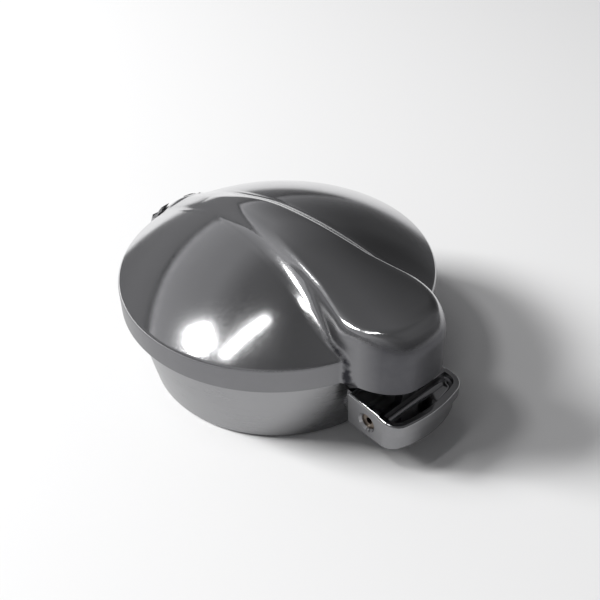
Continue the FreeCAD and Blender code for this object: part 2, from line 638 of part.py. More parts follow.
def make_hinge_washer(side):
    """Thin washer between a knuckle lug and a lid ear."""
    start = KNUCKLE_OUTER_X + (EAR_GAP - HINGE_WASHER_THICKNESS) / 2
    if side < 0:
        start = -start - HINGE_WASHER_THICKNESS
    washer = rod_x(KNUCKLE_RADIUS - BODY_GAP, start, start + HINGE_WASHER_THICKNESS, HINGE_Y, HINGE_Z)
    hole = rod_x(HINGE_PIN_RADIUS + FIXED_GAP, start, start + HINGE_WASHER_THICKNESS, HINGE_Y, HINGE_Z)
    return washer.cut(hole)


def torsion_path(coil_radius, start_angle, turns, length, centre_y, centre_z):
    """Points of a coil about an axis along X, from -X to +X."""
    return [V(along - length / 2, centre_y + y, centre_z + z)
            for along, y, z in coil_path(coil_radius, start_angle, turns, length)]


def lid_spring_sizes():
    wire = LID_SPRING_WIRE / 2
    return wire, HINGE_PIN_RADIUS + LID_SPRING_GAP + wire, 2 * KNUCKLE_INNER_X - 2 * BODY_GAP - 2 * wire


def make_lid_spring():
    """Torsion spring round the hinge pin: low leg in the neck, high leg under the lid."""
    wire, coil_radius, length = lid_spring_sizes()
    path = torsion_path(coil_radius, 270, LID_SPRING_TURNS, length, HINGE_Y, HINGE_Z)
    low, high = path[0], path[-1]
    neck_end = V(low.x, NECK_OUTER_RADIUS - SPRING_HOLE_DEPTH, low.z)
    lid_end = V(high.x, NECK_OUTER_RADIUS + wire + BODY_GAP, NECK_HEIGHT - wire - RUNNING_GAP)
    return swept_wire([neck_end] + path + [lid_end], wire)


def make_lever():
    """Latch lever: cheeks beside the lug, a dished thumb block in front and a hook on top."""
    plan = front_outline(LEVER_HALF_WIDTH, LEVER_BLOCK_REACH, LEVER_FRONT_RADIUS,
                         LEVER_CORNER_RADIUS, LEVER_BACK_Y)
    block = raised(plan, LEVER_BOTTOM_Z, NECK_HEIGHT)
    lip_plan = front_outline(LEVER_LIP_HALF_WIDTH, LEVER_LIP_REACH, LEVER_LIP_FRONT_RADIUS,
                             LEVER_CORNER_RADIUS, LEVER_LIP_START_Y)
    lever = block.fuse(raised(lip_plan, LEVER_LIP_BOTTOM_Z, NECK_HEIGHT))
    above = polygon_face([
        V(0, -LEVER_BACK_Y, LEVER_BACK_TOP_Z),
        V(0, -2 * LEVER_LIP_REACH + LEVER_BACK_Y, 2 * LEVER_FRONT_TOP_Z - LEVER_BACK_TOP_Z),
        V(0, -2 * LEVER_LIP_REACH + LEVER_BACK_Y, 2 * NECK_HEIGHT),
        V(0, 0, 2 * NECK_HEIGHT),
        V(0, 0, LEVER_BACK_TOP_Z),
    ]).extrude(V(4 * LEVER_HALF_WIDTH, 0, 0))
    above.translate(V(-2 * LEVER_HALF_WIDTH, 0, 0))
    lever = lever.cut(above).removeSplitter()
    top_edges = [e for e in lever.Edges if is_lever_top_edge(e)]
    lever = lever.makeFillet(LEVER_EDGE_ROUND, top_edges)
    dish_plan = front_outline(LEVER_LIP_HALF_WIDTH - LEVER_DISH_RIM, LEVER_LIP_REACH - LEVER_DISH_RIM,
                              LEVER_LIP_FRONT_RADIUS - LEVER_DISH_RIM, LEVER_CORNER_RADIUS - LEVER_DISH_RIM,
                              LEVER_DISH_BACK_Y)
    dish = raised(dish_plan, LEVER_FRONT_TOP_Z - LEVER_DISH_DEPTH, NECK_HEIGHT)
    floor_edges = [e for e in dish.Edges
                   if abs(e.BoundBox.ZMax - (LEVER_FRONT_TOP_Z - LEVER_DISH_DEPTH)) < FIXED_GAP]
    dish = dish.makeFillet(LEVER_DISH_ROUND, floor_edges)
    lever = lever.cut(dish)
    slot_x = LUG_HALF_WIDTH + LEVER_CHEEK_GAP
    room = LUG_RADIUS + LEVER_PIVOT_CLEARANCE
    slot = box(-slot_x, slot_x, -LEVER_PIN_Y, -LEVER_BACK_Y + room, 0, LEVER_PIN_Z + room)
    slot = slot.fuse(box(-slot_x, slot_x, -LEVER_PIN_Y - room, -LEVER_PIN_Y, 0, LEVER_PIN_Z))
    slot = slot.fuse(rod_x(room, -slot_x, slot_x, -LEVER_PIN_Y, LEVER_PIN_Z))
    lever = lever.cut(slot)
    lever = lever.fuse(make_hook())
    wire, coil_radius, length = lever_spring_sizes()
    hole_end = LEVER_SPRING_HOLE_Y + wire + SPRING_HOLE_GAP
    lever = lever.cut(Part.makeCylinder(wire + SPRING_HOLE_GAP, hole_end - LEVER_PIN_Y,
                                        V(-length / 2, -hole_end, LEVER_PIN_Z - coil_radius), Y_AXIS))
    pin_radius = LEVER_PIN_RADIUS + RUNNING_GAP
    lever = lever.cut(rod_x(pin_radius, -LEVER_LIP_REACH, LEVER_LIP_REACH, -LEVER_PIN_Y, LEVER_PIN_Z))
    cone = Part.makeCone(pin_radius, pin_radius + PIN_HOLE_CHAMFER, PIN_HOLE_CHAMFER,
                         V(LEVER_HALF_WIDTH - PIN_HOLE_CHAMFER, -LEVER_PIN_Y, LEVER_PIN_Z), X_AXIS)
    return lever.cut(both_sides(cone))


def is_lever_top_edge(edge):
    """True for the edges round the lever's sloping top face."""
    limits = edge.BoundBox
    return limits.ZMin > LEVER_FRONT_TOP_Z - LEVER_EDGE_ROUND and limits.ZMax < NECK_HEIGHT


def make_hook():
    """Hook that stands on the lever, its barb just ahead of the lid's catch."""
    top = NECK_HEIGHT + HOOK_TOP_ABOVE_SKIRT
    tip = CATCH_LIP_REACH + BODY_GAP
    inner = tip + HOOK_BARB_LENGTH
    outer = inner + HOOK_THICKNESS
    barb_bottom = top - HOOK_BARB_HEIGHT
    root_z = LEVER_PIN_Z + LUG_RADIUS + LEVER_PIVOT_CLEARANCE
    profile = polygon_face([
        V(0, -outer, top - HOOK_THICKNESS / 2),
        V(0, -outer, root_z),
        V(0, -inner, root_z),
        V(0, -inner, barb_bottom),
        V(0, -tip, barb_bottom),
        V(0, -inner, top),
        V(0, -outer + HOOK_THICKNESS / 2, top),
    ])
    hook = profile.extrude(V(2 * HOOK_HALF_WIDTH, 0, 0))
    hook.translate(V(-HOOK_HALF_WIDTH, 0, 0))
    return hook


def make_lever_pin():
    """Pivot pin, short of the cheeks' outer faces, drilled at both ends."""
    half = LEVER_HALF_WIDTH - LEVER_PIN_RECESS
    pin = rod_x(LEVER_PIN_RADIUS, -half, half, -LEVER_PIN_Y, LEVER_PIN_Z)
    bore = rod_x(LEVER_PIN_BORE, half - LEVER_PIN_BORE_DEPTH, half, -LEVER_PIN_Y, LEVER_PIN_Z)
    return pin.cut(both_sides(bore))


def make_grub_screw():
    """Socket grub screw that bears on the lever's pin from below."""
    top = LEVER_PIN_Z - LEVER_PIN_RADIUS - FIXED_GAP
    screw = rod_z(GRUB_RADIUS, top - GRUB_LENGTH, top, GRUB_X, -LEVER_PIN_Y)
    screw = screw.cut(rod_x(LEVER_PIN_RADIUS + FIXED_GAP, 0, LEVER_HALF_WIDTH, -LEVER_PIN_Y, LEVER_PIN_Z))
    return screw.cut(hex_socket(GRUB_SOCKET_RADIUS, top - GRUB_LENGTH, GRUB_SOCKET_DEPTH,
                                GRUB_X, -LEVER_PIN_Y))


def hex_socket(radius, z_start, depth, x, y):
    corners = [V(x + radius * math.cos(math.radians(60 * i)), y + radius * math.sin(math.radians(60 * i)),
                 z_start) for i in range(6)]
    return polygon_face(corners).extrude(V(0, 0, depth))


def lever_spring_sizes():
    wire = LEVER_SPRING_WIRE / 2
    return wire, LEVER_PIN_RADIUS + LEVER_SPRING_GAP + wire, 2 * LUG_SLOT_HALF_WIDTH - 2 * BODY_GAP - 2 * wire


def make_lever_spring():
    """Torsion spring in the lug's slot: one leg in the thumb block, one in the neck."""
    wire, coil_radius, length = lever_spring_sizes()
    path = torsion_path(coil_radius, 270, LEVER_SPRING_TURNS, length, -LEVER_PIN_Y, LEVER_PIN_Z)
    start, end = path[0], path[-1]
    block_end = V(start.x, -LEVER_SPRING_HOLE_Y, start.z)
    neck_end = V(end.x, -(NECK_OUTER_RADIUS - SPRING_HOLE_DEPTH), end.z)
    return swept_wire([block_end] + path + [neck_end], wire)


def make_catch():
    """Folded spring-steel strip on the nose's inner wall, with a lip under the hook."""
    lip_top = NECK_HEIGHT + CATCH_LIP_ABOVE_SKIRT + CATCH_THICKNESS
    lip_bottom = lip_top - CATCH_THICKNESS
    top = NECK_HEIGHT + CATCH_TOP_ABOVE_SKIRT
    back = -CATCH_PLANE - FIXED_GAP
    front = back - CATCH_THICKNESS
    turn = CATCH_BEND_RADIUS * math.sin(math.radians(45))
    outer_turn = (CATCH_BEND_RADIUS + CATCH_THICKNESS) * math.sin(math.radians(45))
    bend_y = front - CATCH_BEND_RADIUS
    bend_z = lip_top + CATCH_BEND_RADIUS
    edges = [
        line(V(0, back, top), V(0, back, bend_z)),
        arc(V(0, back, bend_z), V(0, bend_y + outer_turn, bend_z - outer_turn), V(0, bend_y, lip_bottom)),
        line(V(0, bend_y, lip_bottom), V(0, -CATCH_LIP_REACH, lip_bottom)),
        line(V(0, -CATCH_LIP_REACH, lip_bottom), V(0, -CATCH_LIP_REACH, lip_top)),
        line(V(0, -CATCH_LIP_REACH, lip_top), V(0, bend_y, lip_top)),
        arc(V(0, bend_y, lip_top), V(0, bend_y + turn, bend_z - turn), V(0, front, bend_z)),
        line(V(0, front, bend_z), V(0, front, top)),
        line(V(0, front, top), V(0, back, top)),
    ]
    strip = Part.Face(Part.Wire(edges)).extrude(V(2 * CATCH_HALF_WIDTH, 0, 0))
    strip.translate(V(-CATCH_HALF_WIDTH, 0, 0))
    screw_z = NECK_HEIGHT + CATCH_SCREW_ABOVE_SKIRT
    for x in (-CATCH_SCREW_X, CATCH_SCREW_X):
        strip = strip.cut(Part.makeCylinder(CATCH_SCREW_RADIUS + FIXED_GAP, 2 * CATCH_THICKNESS,
                                            V(x, front - CATCH_THICKNESS / 2, screw_z), Y_AXIS))
    return strip


def make_catch_screw(x):
    """Slotted pan-head screw through the catch into the lid."""
    z = NECK_HEIGHT + CATCH_SCREW_ABOVE_SKIRT
    seat = -CATCH_PLANE - CATCH_THICKNESS - 2 * FIXED_GAP
    shank_length = CATCH_SCREW_LENGTH + CATCH_THICKNESS
    shank = Part.makeCylinder(CATCH_SCREW_RADIUS, shank_length, V(x, seat, z), Y_AXIS)
    head = Part.makeCylinder(CATCH_SCREW_HEAD_RADIUS, CATCH_SCREW_HEAD_HEIGHT,
                             V(x, seat - CATCH_SCREW_HEAD_HEIGHT, z), Y_AXIS)
    head = head.makeFillet(CATCH_SCREW_HEAD_HEIGHT / 3,
                           [e for e in head.Edges if e.Closed and e.BoundBox.YMax < seat - FIXED_GAP])
    face_y = seat - CATCH_SCREW_HEAD_HEIGHT
    slot = box(x - CATCH_SCREW_HEAD_RADIUS, x + CATCH_SCREW_HEAD_RADIUS, face_y, face_y + SLOT_DEPTH,
               z - SLOT_WIDTH / 2, z + SLOT_WIDTH / 2)
    return head.fuse(shank).cut(slot)


def clamp_screw_places():
    step = 2 * math.pi / CLAMP_SCREW_COUNT
    return [(CLAMP_SCREW_CIRCLE * math.cos(i * step), CLAMP_SCREW_CIRCLE * math.sin(i * step))
            for i in range(CLAMP_SCREW_COUNT)]


def drilled(shape, radius, z_start, z_end):
    for x, y in clamp_screw_places():
        shape = shape.cut(rod_z(radius, z_start, z_end, x, y))
    return shape


def make_carrier():
    """Disc that carries the seal and slides on the bolt's shoulder."""
    bore = BOLT_SHOULDER_RADIUS + RUNNING_GAP
    rib_in = CARRIER_RIB_RADIUS - CARRIER_RIB_WIDTH / 2
    rib_out = CARRIER_RIB_RADIUS + CARRIER_RIB_WIDTH / 2
    rib_top = CARRIER_TOP_Z + CARRIER_RIB_HEIGHT
    disc = turned([
        (bore, SEAT_Z), (SEAL_INNER_RADIUS - BODY_GAP, SEAT_Z),
        (SEAL_INNER_RADIUS - BODY_GAP, SEAL_TOP_Z), (CARRIER_RADIUS, SEAL_TOP_Z),
        (CARRIER_RADIUS, CARRIER_TOP_Z), (rib_out, CARRIER_TOP_Z),
        (rib_out - CARRIER_RIB_WIDTH / 4, rib_top), (rib_in + CARRIER_RIB_WIDTH / 4, rib_top),
        (rib_in, CARRIER_TOP_Z), (bore, CARRIER_TOP_Z),
    ])
    return drilled(disc, CLAMP_SCREW_RADIUS + FIXED_GAP, SEAT_Z, RIM_Z + DOME_RISE)


def make_seal():
    seal = rod_z(SEAL_OUTER_RADIUS, SEAT_Z, SEAL_TOP_Z).cut(rod_z(SEAL_INNER_RADIUS, SEAT_Z, SEAL_TOP_Z))
    return drilled(seal, CLAMP_SCREW_RADIUS + BODY_GAP, 0, RIM_Z)


def make_clamp():
    """Disc that clamps the seal's inner edge against the carrier."""
    clamp = rod_z(CLAMP_RADIUS, CLAMP_BOTTOM_Z, SEAT_Z)
    clamp = clamp.makeChamfer(CLAMP_THICKNESS / 3,
                              [e for e in clamp.Edges if e.Closed and e.BoundBox.ZMax < SEAT_Z - FIXED_GAP])
    clamp = clamp.cut(rod_z(BOLT_SHOULDER_RADIUS + RUNNING_GAP, 0, RIM_Z))
    for x, y in clamp_screw_places():
        clamp = clamp.cut(screw_cone(x, y, FIXED_GAP))
    return drilled(clamp, CLAMP_SCREW_RADIUS + FIXED_GAP, 0, RIM_Z)


def screw_cone(x, y, clearance):
    depth = CLAMP_SCREW_HEAD_RADIUS - CLAMP_SCREW_RADIUS
    return Part.makeCone(CLAMP_SCREW_HEAD_RADIUS + clearance, CLAMP_SCREW_RADIUS + clearance, depth,
                         V(x, y, CLAMP_BOTTOM_Z), Z_AXIS)


def make_clamp_screw(x, y):
    """Countersunk screw from the clamp into the carrier."""
    end = CARRIER_TOP_Z + CLAMP_SCREW_PROUD
    screw = rod_z(CLAMP_SCREW_RADIUS, CLAMP_BOTTOM_Z, end, x, y).fuse(screw_cone(x, y, 0))
    slot = box(x - CLAMP_SCREW_HEAD_RADIUS, x + CLAMP_SCREW_HEAD_RADIUS, y - SLOT_WIDTH / 2,
               y + SLOT_WIDTH / 2, CLAMP_BOTTOM_Z, CLAMP_BOTTOM_Z + SLOT_DEPTH)
    return screw.cut(slot)


def make_centre_bolt():
    """Shoulder bolt that hangs the floating seal from the lid's boss."""
    head_bottom = CLAMP_BOTTOM_Z - BOLT_HEAD_HEIGHT
    head = rod_z(BOLT_HEAD_RADIUS, head_bottom, CLAMP_BOTTOM_Z)
    head = head.makeFillet(BOLT_HEAD_HEIGHT / 3,
                           [e for e in head.Edges
                            if e.Closed and e.BoundBox.ZMax < CLAMP_BOTTOM_Z - FIXED_GAP])
    bolt = head.fuse(rod_z(BOLT_SHOULDER_RADIUS, CLAMP_BOTTOM_Z, BOSS_BOTTOM_Z))
    bolt = bolt.fuse(rod_z(BOLT_THREAD_RADIUS, BOSS_BOTTOM_Z, BOSS_BOTTOM_Z + BOLT_THREAD_LENGTH))
    return bolt.cut(hex_socket(BOLT_HEX_RADIUS, head_bottom, BOLT_HEX_DEPTH, 0, 0))


def make_spring_washer():
    """Washer on the carrier that the pressure spring sits on."""
    washer = rod_z(SPRING_WASHER_RADIUS, CARRIER_TOP_Z, CARRIER_TOP_Z + SPRING_WASHER_THICKNESS)
    hole = rod_z(BOLT_SHOULDER_RADIUS + RUNNING_GAP, 0, RIM_Z + DOME_RISE)
    return washer.cut(hole)


def make_pressure_spring():
    """Compression spring with flat end turns, between the washer and the lid's spring seat."""
    wire = PRESSURE_SPRING_WIRE / 2
    coil_radius = BOSS_RADIUS + BODY_GAP + wire
    bottom = CARRIER_TOP_Z + SPRING_WASHER_THICKNESS + wire + FIXED_GAP
    length = SPRING_SEAT_Z - wire - FIXED_GAP - bottom
    rise = length - 2 * END_TURN_RISE * PRESSURE_SPRING_WIRE
    body = coil_path(coil_radius, 0, PRESSURE_SPRING_TURNS, rise)
    end_turn = coil_path(coil_radius, 0, 1, END_TURN_RISE * PRESSURE_SPRING_WIRE)
    lower = bottom + END_TURN_RISE * PRESSURE_SPRING_WIRE
    path = [V(x, y, bottom + z) for z, x, y in end_turn[:-1]]
    path += [V(x, y, lower + z) for z, x, y in body]
    path += [V(x, y, lower + rise + z) for z, x, y in end_turn[1:]]
    return swept_wire(path, wire)


def save(name, shape):
    """Writes one sub-part and prints whether it is sound."""
    solids = shape.Solids
    clean = solids[0] if len(solids) == 1 else Part.makeCompound(solids)
    clean.exportStep(os.path.join("parts", name + ".step"))
    limits = clean.BoundBox
    print(name, "solids", len(solids), "valid", clean.isValid(), "volume", round(clean.Volume, 1),
          "z", round(limits.ZMin, 2), round(limits.ZMax, 2))


def main():
    save("filler_body", make_body())
    save("lid", make_lid())
    save("hinge_pin", make_hinge_pin())
    for name, side in (("left", -1), ("right", 1)):
        save("hinge_clip_" + name, make_hinge_clip(side))
        save("hinge_washer_" + name, make_hinge_washer(side))
        save("catch_screw_" + name, make_catch_screw(side * CATCH_SCREW_X))
    save("lid_spring", make_lid_spring())
    save("latch_lever", make_lever())
    save("lever_pin", make_lever_pin())
    save("lever_pin_grub_screw", make_grub_screw())
    save("lever_spring", make_lever_spring())
    save("lid_catch", make_catch())
    save("seal_carrier", make_carrier())
    save("seal_ring", make_seal())
    save("seal_clamp_disc", make_clamp())
    for number, (x, y) in enumerate(clamp_screw_places(), 1):
        save("seal_screw_%d" % number, make_clamp_screw(x, y))
    save("centre_bolt", make_centre_bolt())
    save("spring_washer", make_spring_washer())
    save("pressure_spring", make_pressure_spring())


main()
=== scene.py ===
"""Dresses the flip-up filler cap: polished lid, satin neck, dished latch lever and hidden fittings."""
import json
import math

import bmesh
import bpy
import numpy as np
from mathutils import Matrix, Vector


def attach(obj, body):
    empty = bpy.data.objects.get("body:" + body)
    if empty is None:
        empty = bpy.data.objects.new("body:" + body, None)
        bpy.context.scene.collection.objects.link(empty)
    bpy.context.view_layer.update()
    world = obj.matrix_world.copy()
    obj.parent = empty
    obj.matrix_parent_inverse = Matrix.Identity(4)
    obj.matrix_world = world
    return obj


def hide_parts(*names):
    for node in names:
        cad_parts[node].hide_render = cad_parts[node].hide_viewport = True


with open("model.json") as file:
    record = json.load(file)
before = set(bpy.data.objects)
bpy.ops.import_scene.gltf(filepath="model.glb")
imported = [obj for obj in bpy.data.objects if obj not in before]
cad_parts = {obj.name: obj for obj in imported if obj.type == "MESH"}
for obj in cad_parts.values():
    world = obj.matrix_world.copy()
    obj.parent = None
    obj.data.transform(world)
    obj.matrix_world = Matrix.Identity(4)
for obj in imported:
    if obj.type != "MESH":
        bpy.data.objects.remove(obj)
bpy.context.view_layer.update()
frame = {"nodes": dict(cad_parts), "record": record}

MM = 0.001

# Dome and skirt of the lid, in millimetres, in the CAD's frame
NECK_TOP = 26.2
RIM_Z = 34.7
LID_RADIUS = 50.0
DOME_RISE = 15.0
DOME_RADIUS = (LID_RADIUS ** 2 + DOME_RISE ** 2) / (2 * DOME_RISE)
DOME_CENTRE = RIM_Z + DOME_RISE - DOME_RADIUS
RIM_ROUND = 0.7
SKIRT_EDGE = 0.4

# Stations of the spine: distance ahead of the lid's centre, half width at the toe, half width at the
# shoulder, height of the crest, share of an upright wall
SPINE = np.array([
    (-58.0, 10.0, 8.4, 30.4, 0.0),
    (-52.0, 9.8, 8.0, 35.2, 0.0),
    (-45.0, 9.4, 7.2, 39.0, 0.0),
    (-36.0, 8.8, 6.2, 43.6, 0.0),
    (-24.0, 8.4, 5.8, 48.6, 0.0),
    (-11.0, 9.9, 7.4, 51.8, 0.0),
    (4.0, 11.6, 9.0, 52.6, 0.0),
    (18.0, 13.2, 10.6, 51.4, 0.0),
    (30.0, 15.0, 12.0, 49.4, 0.15),
    (40.0, 17.0, 13.6, 47.8, 0.6),
    (47.0, 18.3, 14.4, 46.9, 1.0),
    (54.0, 18.6, 14.6, 46.3, 1.0),
    (67.0, 18.6, 14.6, 45.6, 1.0),
])
TOE_FILLET = 2.6
SHOULDER_ROUND = 2.8
LEAST_RISE = 2.0
END_BLEND = 1.0
# The crown falls from its middle to the shoulders by CROWN_DROP, one share of it as an even bow and the
# other as a late roll. Its formula runs on a little past the shoulder.
CROWN_DROP = 1.7
CROWN_BOW = 0.55
CROWN_ROLL = 0.45
CROWN_REACH = 1.25
# The flank climbs from the toe to the shoulder in three shares: evenly, ever faster, and near the top
FLANK_EVEN = 0.35
FLANK_HOLLOW = 0.45
FLANK_LIP = 0.2

# Blocks that end the spine in front and behind. TAIL_START is a distance ahead, as in the stations.
NOSE_HALF_WIDTH = 17.2
NOSE_BACK = 17.2
NOSE_REACH = 63.4
NOSE_FRONT_RADIUS = 27.5
NOSE_CORNER = 12.0
NOSE_ROLL = 8.5
NOSE_TOP = 46.2
NOSE_SLOPE = 0.12
TAIL_HALF_WIDTH = 12.0
TAIL_REACH = 53.6
TAIL_CORNER = 2.5
TAIL_END_RADIUS = 4 * TAIL_REACH
TAIL_START = -5.0

# Grid of the lid's skin. Rows lie closer together towards the rim, and columns on the spine's flanks.
HALF_COLUMNS = 266
SKIRT_ROWS = 34
DOME_ROWS = 148
SKIRT_CROWDING = 1.25
DOME_CROWDING = 1.15
FAN_ROWS = 800
TURN_STEPS = 1800
PLAIN_WEIGHT = 0.6
NOSE_FLANK_WEIGHT = 3.4
TAIL_FLANK_WEIGHT = 2.6

# The search along a ray for the skin, from the middle of the neck's top
NEAREST_SKIN = 15.0
FURTHEST_SKIN = 90.0
HALVINGS = 34
SLOPE_STEP = 0.02

# Clean-up of copied CAD meshes
MERGE_DISTANCE = 2e-6
CRISP_ANGLE = 32.0


# curves and fields of the lid

def natural_spline(knots, values):
    """Smooth curve through points, as a function of position."""
    count = len(knots)
    step = np.diff(knots)
    system = np.zeros((count, count))
    right = np.zeros(count)
    system[0, 0] = system[-1, -1] = 1.0
    for i in range(1, count - 1):
        system[i, i - 1] = step[i - 1]
        system[i, i] = 2 * (step[i - 1] + step[i])
        system[i, i + 1] = step[i]
        right[i] = 6 * ((values[i + 1] - values[i]) / step[i] - (values[i] - values[i - 1]) / step[i - 1])
    bend = np.linalg.solve(system, right)

    def curve(place):
        place = np.clip(place, knots[0], knots[-1])
        i = np.clip(np.searchsorted(knots, place) - 1, 0, count - 2)
        a = (knots[i + 1] - place) / step[i]
        b = 1 - a
        return (a * values[i] + b * values[i + 1]
                + ((a ** 3 - a) * bend[i] + (b ** 3 - b) * bend[i + 1]) * step[i] ** 2 / 6)

    return curve


toe_at = natural_spline(SPINE[:, 0], SPINE[:, 1])
shoulder_at = natural_spline(SPINE[:, 0], SPINE[:, 2])
crest_at = natural_spline(SPINE[:, 0], SPINE[:, 3])


def wall_at(ahead):
    """Share of an upright wall in the flank, from 0 behind to 1 at the nose."""
    return np.interp(ahead, SPINE[:, 0], SPINE[:, 4])


def round_max(a, b, radius):
    """Overlap of two fields with a rounded outer edge."""
    inside = np.minimum(np.maximum(a, b), -radius)
    return inside + np.hypot(np.maximum(a + radius, 0), np.maximum(b + radius, 0))


def round_min(a, b, radius):
    """Union of two fields with a filleted inner corner."""
    outside = np.maximum(np.minimum(a, b), radius)
    return outside - np.hypot(np.maximum(radius - a, 0), np.maximum(radius - b, 0))


def soft_max(a, b, width):
    """Overlap of two fields that ease into each other over a width."""
    near = np.maximum(width - np.abs(a - b), 0) / width
    return np.maximum(a, b) + near * near * width / 4


def shell_field(x, y, z):
    """Dome and skirt, rounded at the rim and bevelled at the skirt's lower edge."""
    radius = np.hypot(x, y)
    cap = np.sqrt(radius ** 2 + (z - DOME_CENTRE) ** 2) - DOME_RADIUS
    skirt = radius - LID_RADIUS
    edge = (radius - LID_RADIUS + SKIRT_EDGE - (z - NECK_TOP)) / math.sqrt(2)
    return np.maximum(round_max(cap, skirt, RIM_ROUND), edge)


def crown_field(side, z, shoulder, crest):
    """Top of the spine, nearly flat in the middle and rolled over at the shoulders."""
    share = np.minimum(side / shoulder, CROWN_REACH)
    drop = CROWN_DROP * (CROWN_BOW * share ** 2 + CROWN_ROLL * share ** 7)
    tilt = CROWN_DROP * (2 * CROWN_BOW * share + 7 * CROWN_ROLL * share ** 6) / shoulder
    return (z - crest + drop) / np.sqrt(1 + tilt ** 2)


def flank_field(ahead, side, z, toe, shoulder, crest):
    """Side of the spine, hollow between toe and shoulder and upright towards the nose."""
    wall = wall_at(ahead)
    reach = np.minimum(np.hypot(ahead, toe), LID_RADIUS)
    foot = np.minimum(DOME_CENTRE + np.sqrt(DOME_RADIUS ** 2 - reach ** 2), crest - LEAST_RISE)
    rise = crest - CROWN_DROP - foot
    up = np.clip((toe - side) / (toe - shoulder), 0, 1)
    climb = FLANK_EVEN * up + FLANK_HOLLOW * up ** 2 + FLANK_LIP * up ** 6
    steep = rise / (toe - shoulder) * (FLANK_EVEN + 2 * FLANK_HOLLOW * up + 6 * FLANK_LIP * up ** 5)
    height = foot + rise * climb + np.minimum(toe - side, 0)
    height = height + steep * np.maximum(shoulder - side, 0)
    sloped = (z - height) / np.sqrt(1 + steep ** 2)
    return sloped * (1 - wall) + (side - toe) * wall


def nose_field(x, y, z):
    """Block round the spine's front part, with round corners and a rolled top edge."""
    front_middle = NOSE_FRONT_RADIUS - NOSE_REACH
    front = np.hypot(x, np.minimum(y - front_middle, 0)) - NOSE_FRONT_RADIUS
    plan = round_max(np.abs(x) - NOSE_HALF_WIDTH, front, NOSE_CORNER)
    top = z - NOSE_TOP - NOSE_SLOPE * (y + NOSE_REACH)
    return np.maximum(round_max(plan, top, NOSE_ROLL), y - NOSE_BACK)


def tail_field(x, y):
    """Block round the spine's rear part, open at the top."""
    end = np.hypot(x, y - TAIL_REACH + TAIL_END_RADIUS) - TAIL_END_RADIUS
    plan = round_max(np.abs(x) - TAIL_HALF_WIDTH, end, TAIL_CORNER)
    return np.maximum(plan, -y - TAIL_START)


def spine_field(x, y, z):
    """The waisted spine from the tail over the crown to the nose."""
    ahead = -y
    side = np.abs(x)
    toe, shoulder, crest = toe_at(ahead), shoulder_at(ahead), crest_at(ahead)
    crown = crown_field(side, z, shoulder, crest)
    flank = flank_field(ahead, side, z, toe, shoulder, crest)
    ends = np.minimum(nose_field(x, y, z), tail_field(x, y))
    return soft_max(round_max(crown, flank, SHOULDER_ROUND), ends, END_BLEND)


def lid_field(x, y, z):
    """The lid's outside: negative in the metal, zero on the skin, positive in the air."""
    return round_min(shell_field(x, y, z), spine_field(x, y, z), TOE_FILLET)


def field_slope(field, points):
    """Unit direction in which a field grows, at each point."""
    slope = np.empty_like(points)
    for axis in range(3):
        shift = np.zeros(3)
        shift[axis] = SLOPE_STEP
        ahead, behind = points + shift, points - shift
        slope[:, axis] = field(*ahead.T) - field(*behind.T)
    return slope / np.maximum(np.linalg.norm(slope, axis=1, keepdims=True), 1e-12)


# the lid's skin as a grid of points

def reach_along(directions):
    """Distance from the middle of the neck's top to the lid's surface, along each direction."""
    near = np.full(len(directions), NEAREST_SKIN)
    far = np.full(len(directions), FURTHEST_SKIN)
    for _ in range(HALVINGS):
        middle = (near + far) / 2
        x, y, z = (directions * middle[:, None]).T
        outside = lid_field(x, y, z + NECK_TOP) > 0
        far = np.where(outside, middle, far)
        near = np.where(outside, near, middle)
    return (near + far) / 2


def skin_along(turn, lift):
    """Points of the skin above the neck's top, by their turn from the nose and their lift."""
    fan = np.stack([np.sin(turn) * np.cos(lift), -np.cos(turn) * np.cos(lift), np.sin(lift)], axis=-1)
    far = reach_along(fan.reshape(-1, 3)).reshape(lift.shape)
    return fan * far[..., None]


def extra_columns(weight, degrees, start, end):
    """Weight of more columns between two turns, eased in and out over a few degrees."""
    ease_in, ease_out = 1.5, 3.0
    return weight / (1 + np.exp(-(degrees - start) / ease_in)) / (1 + np.exp((degrees - end) / ease_out))


def half_turn_columns():
    """Turns from the nose to the tail, closer together where the spine's flanks run."""
    turn = np.radians(np.linspace(0, 180, TURN_STEPS + 1))
    from_nose = np.degrees(turn)
    weight = (PLAIN_WEIGHT + extra_columns(NOSE_FLANK_WEIGHT, from_nose, 10, 40)
              + extra_columns(TAIL_FLANK_WEIGHT, 180 - from_nose, 8, 27))
    total = np.concatenate(([0], np.cumsum((weight[1:] + weight[:-1]) / 2)))
    return np.interp(np.linspace(0, total[-1], HALF_COLUMNS + 1), total, turn)


def row_lifts(path, lifts):
    """Lifts of one column's rows, spaced along the skin from the skirt's edge over the rim to the apex."""
    length = np.concatenate(([0], np.cumsum(np.linalg.norm(np.diff(path, axis=0), axis=1))))
    rim_lift = math.atan2(RIM_Z - NECK_TOP - RIM_ROUND / 2, LID_RADIUS)
    rim = np.interp(rim_lift, lifts, length)
    low = rim * (1 - (1 - np.linspace(0, 1, SKIRT_ROWS)) ** SKIRT_CROWDING)
    high = rim + (length[-1] - rim) * np.linspace(0, 1, DOME_ROWS)[1:] ** DOME_CROWDING
    return np.interp(np.concatenate((low, high)), length, lifts)


def skin_points():
    """Grid of points on the lid, rows from the skirt's edge to the apex, columns round the lid."""
    half = half_turn_columns()
    lifts = np.radians(np.linspace(0, 90, FAN_ROWS))
    paths = skin_along(*np.meshgrid(half, lifts))
    lift = np.array([row_lifts(paths[:, column], lifts) for column in range(len(half))]).T
    right = skin_along(np.broadcast_to(half, lift.shape), lift)
    left = right[:, -2:0:-1] * np.array([-1, 1, 1])
    grid = np.concatenate((right, left), axis=1)
    grid[..., 2] += NECK_TOP
    return grid


# mesh helpers

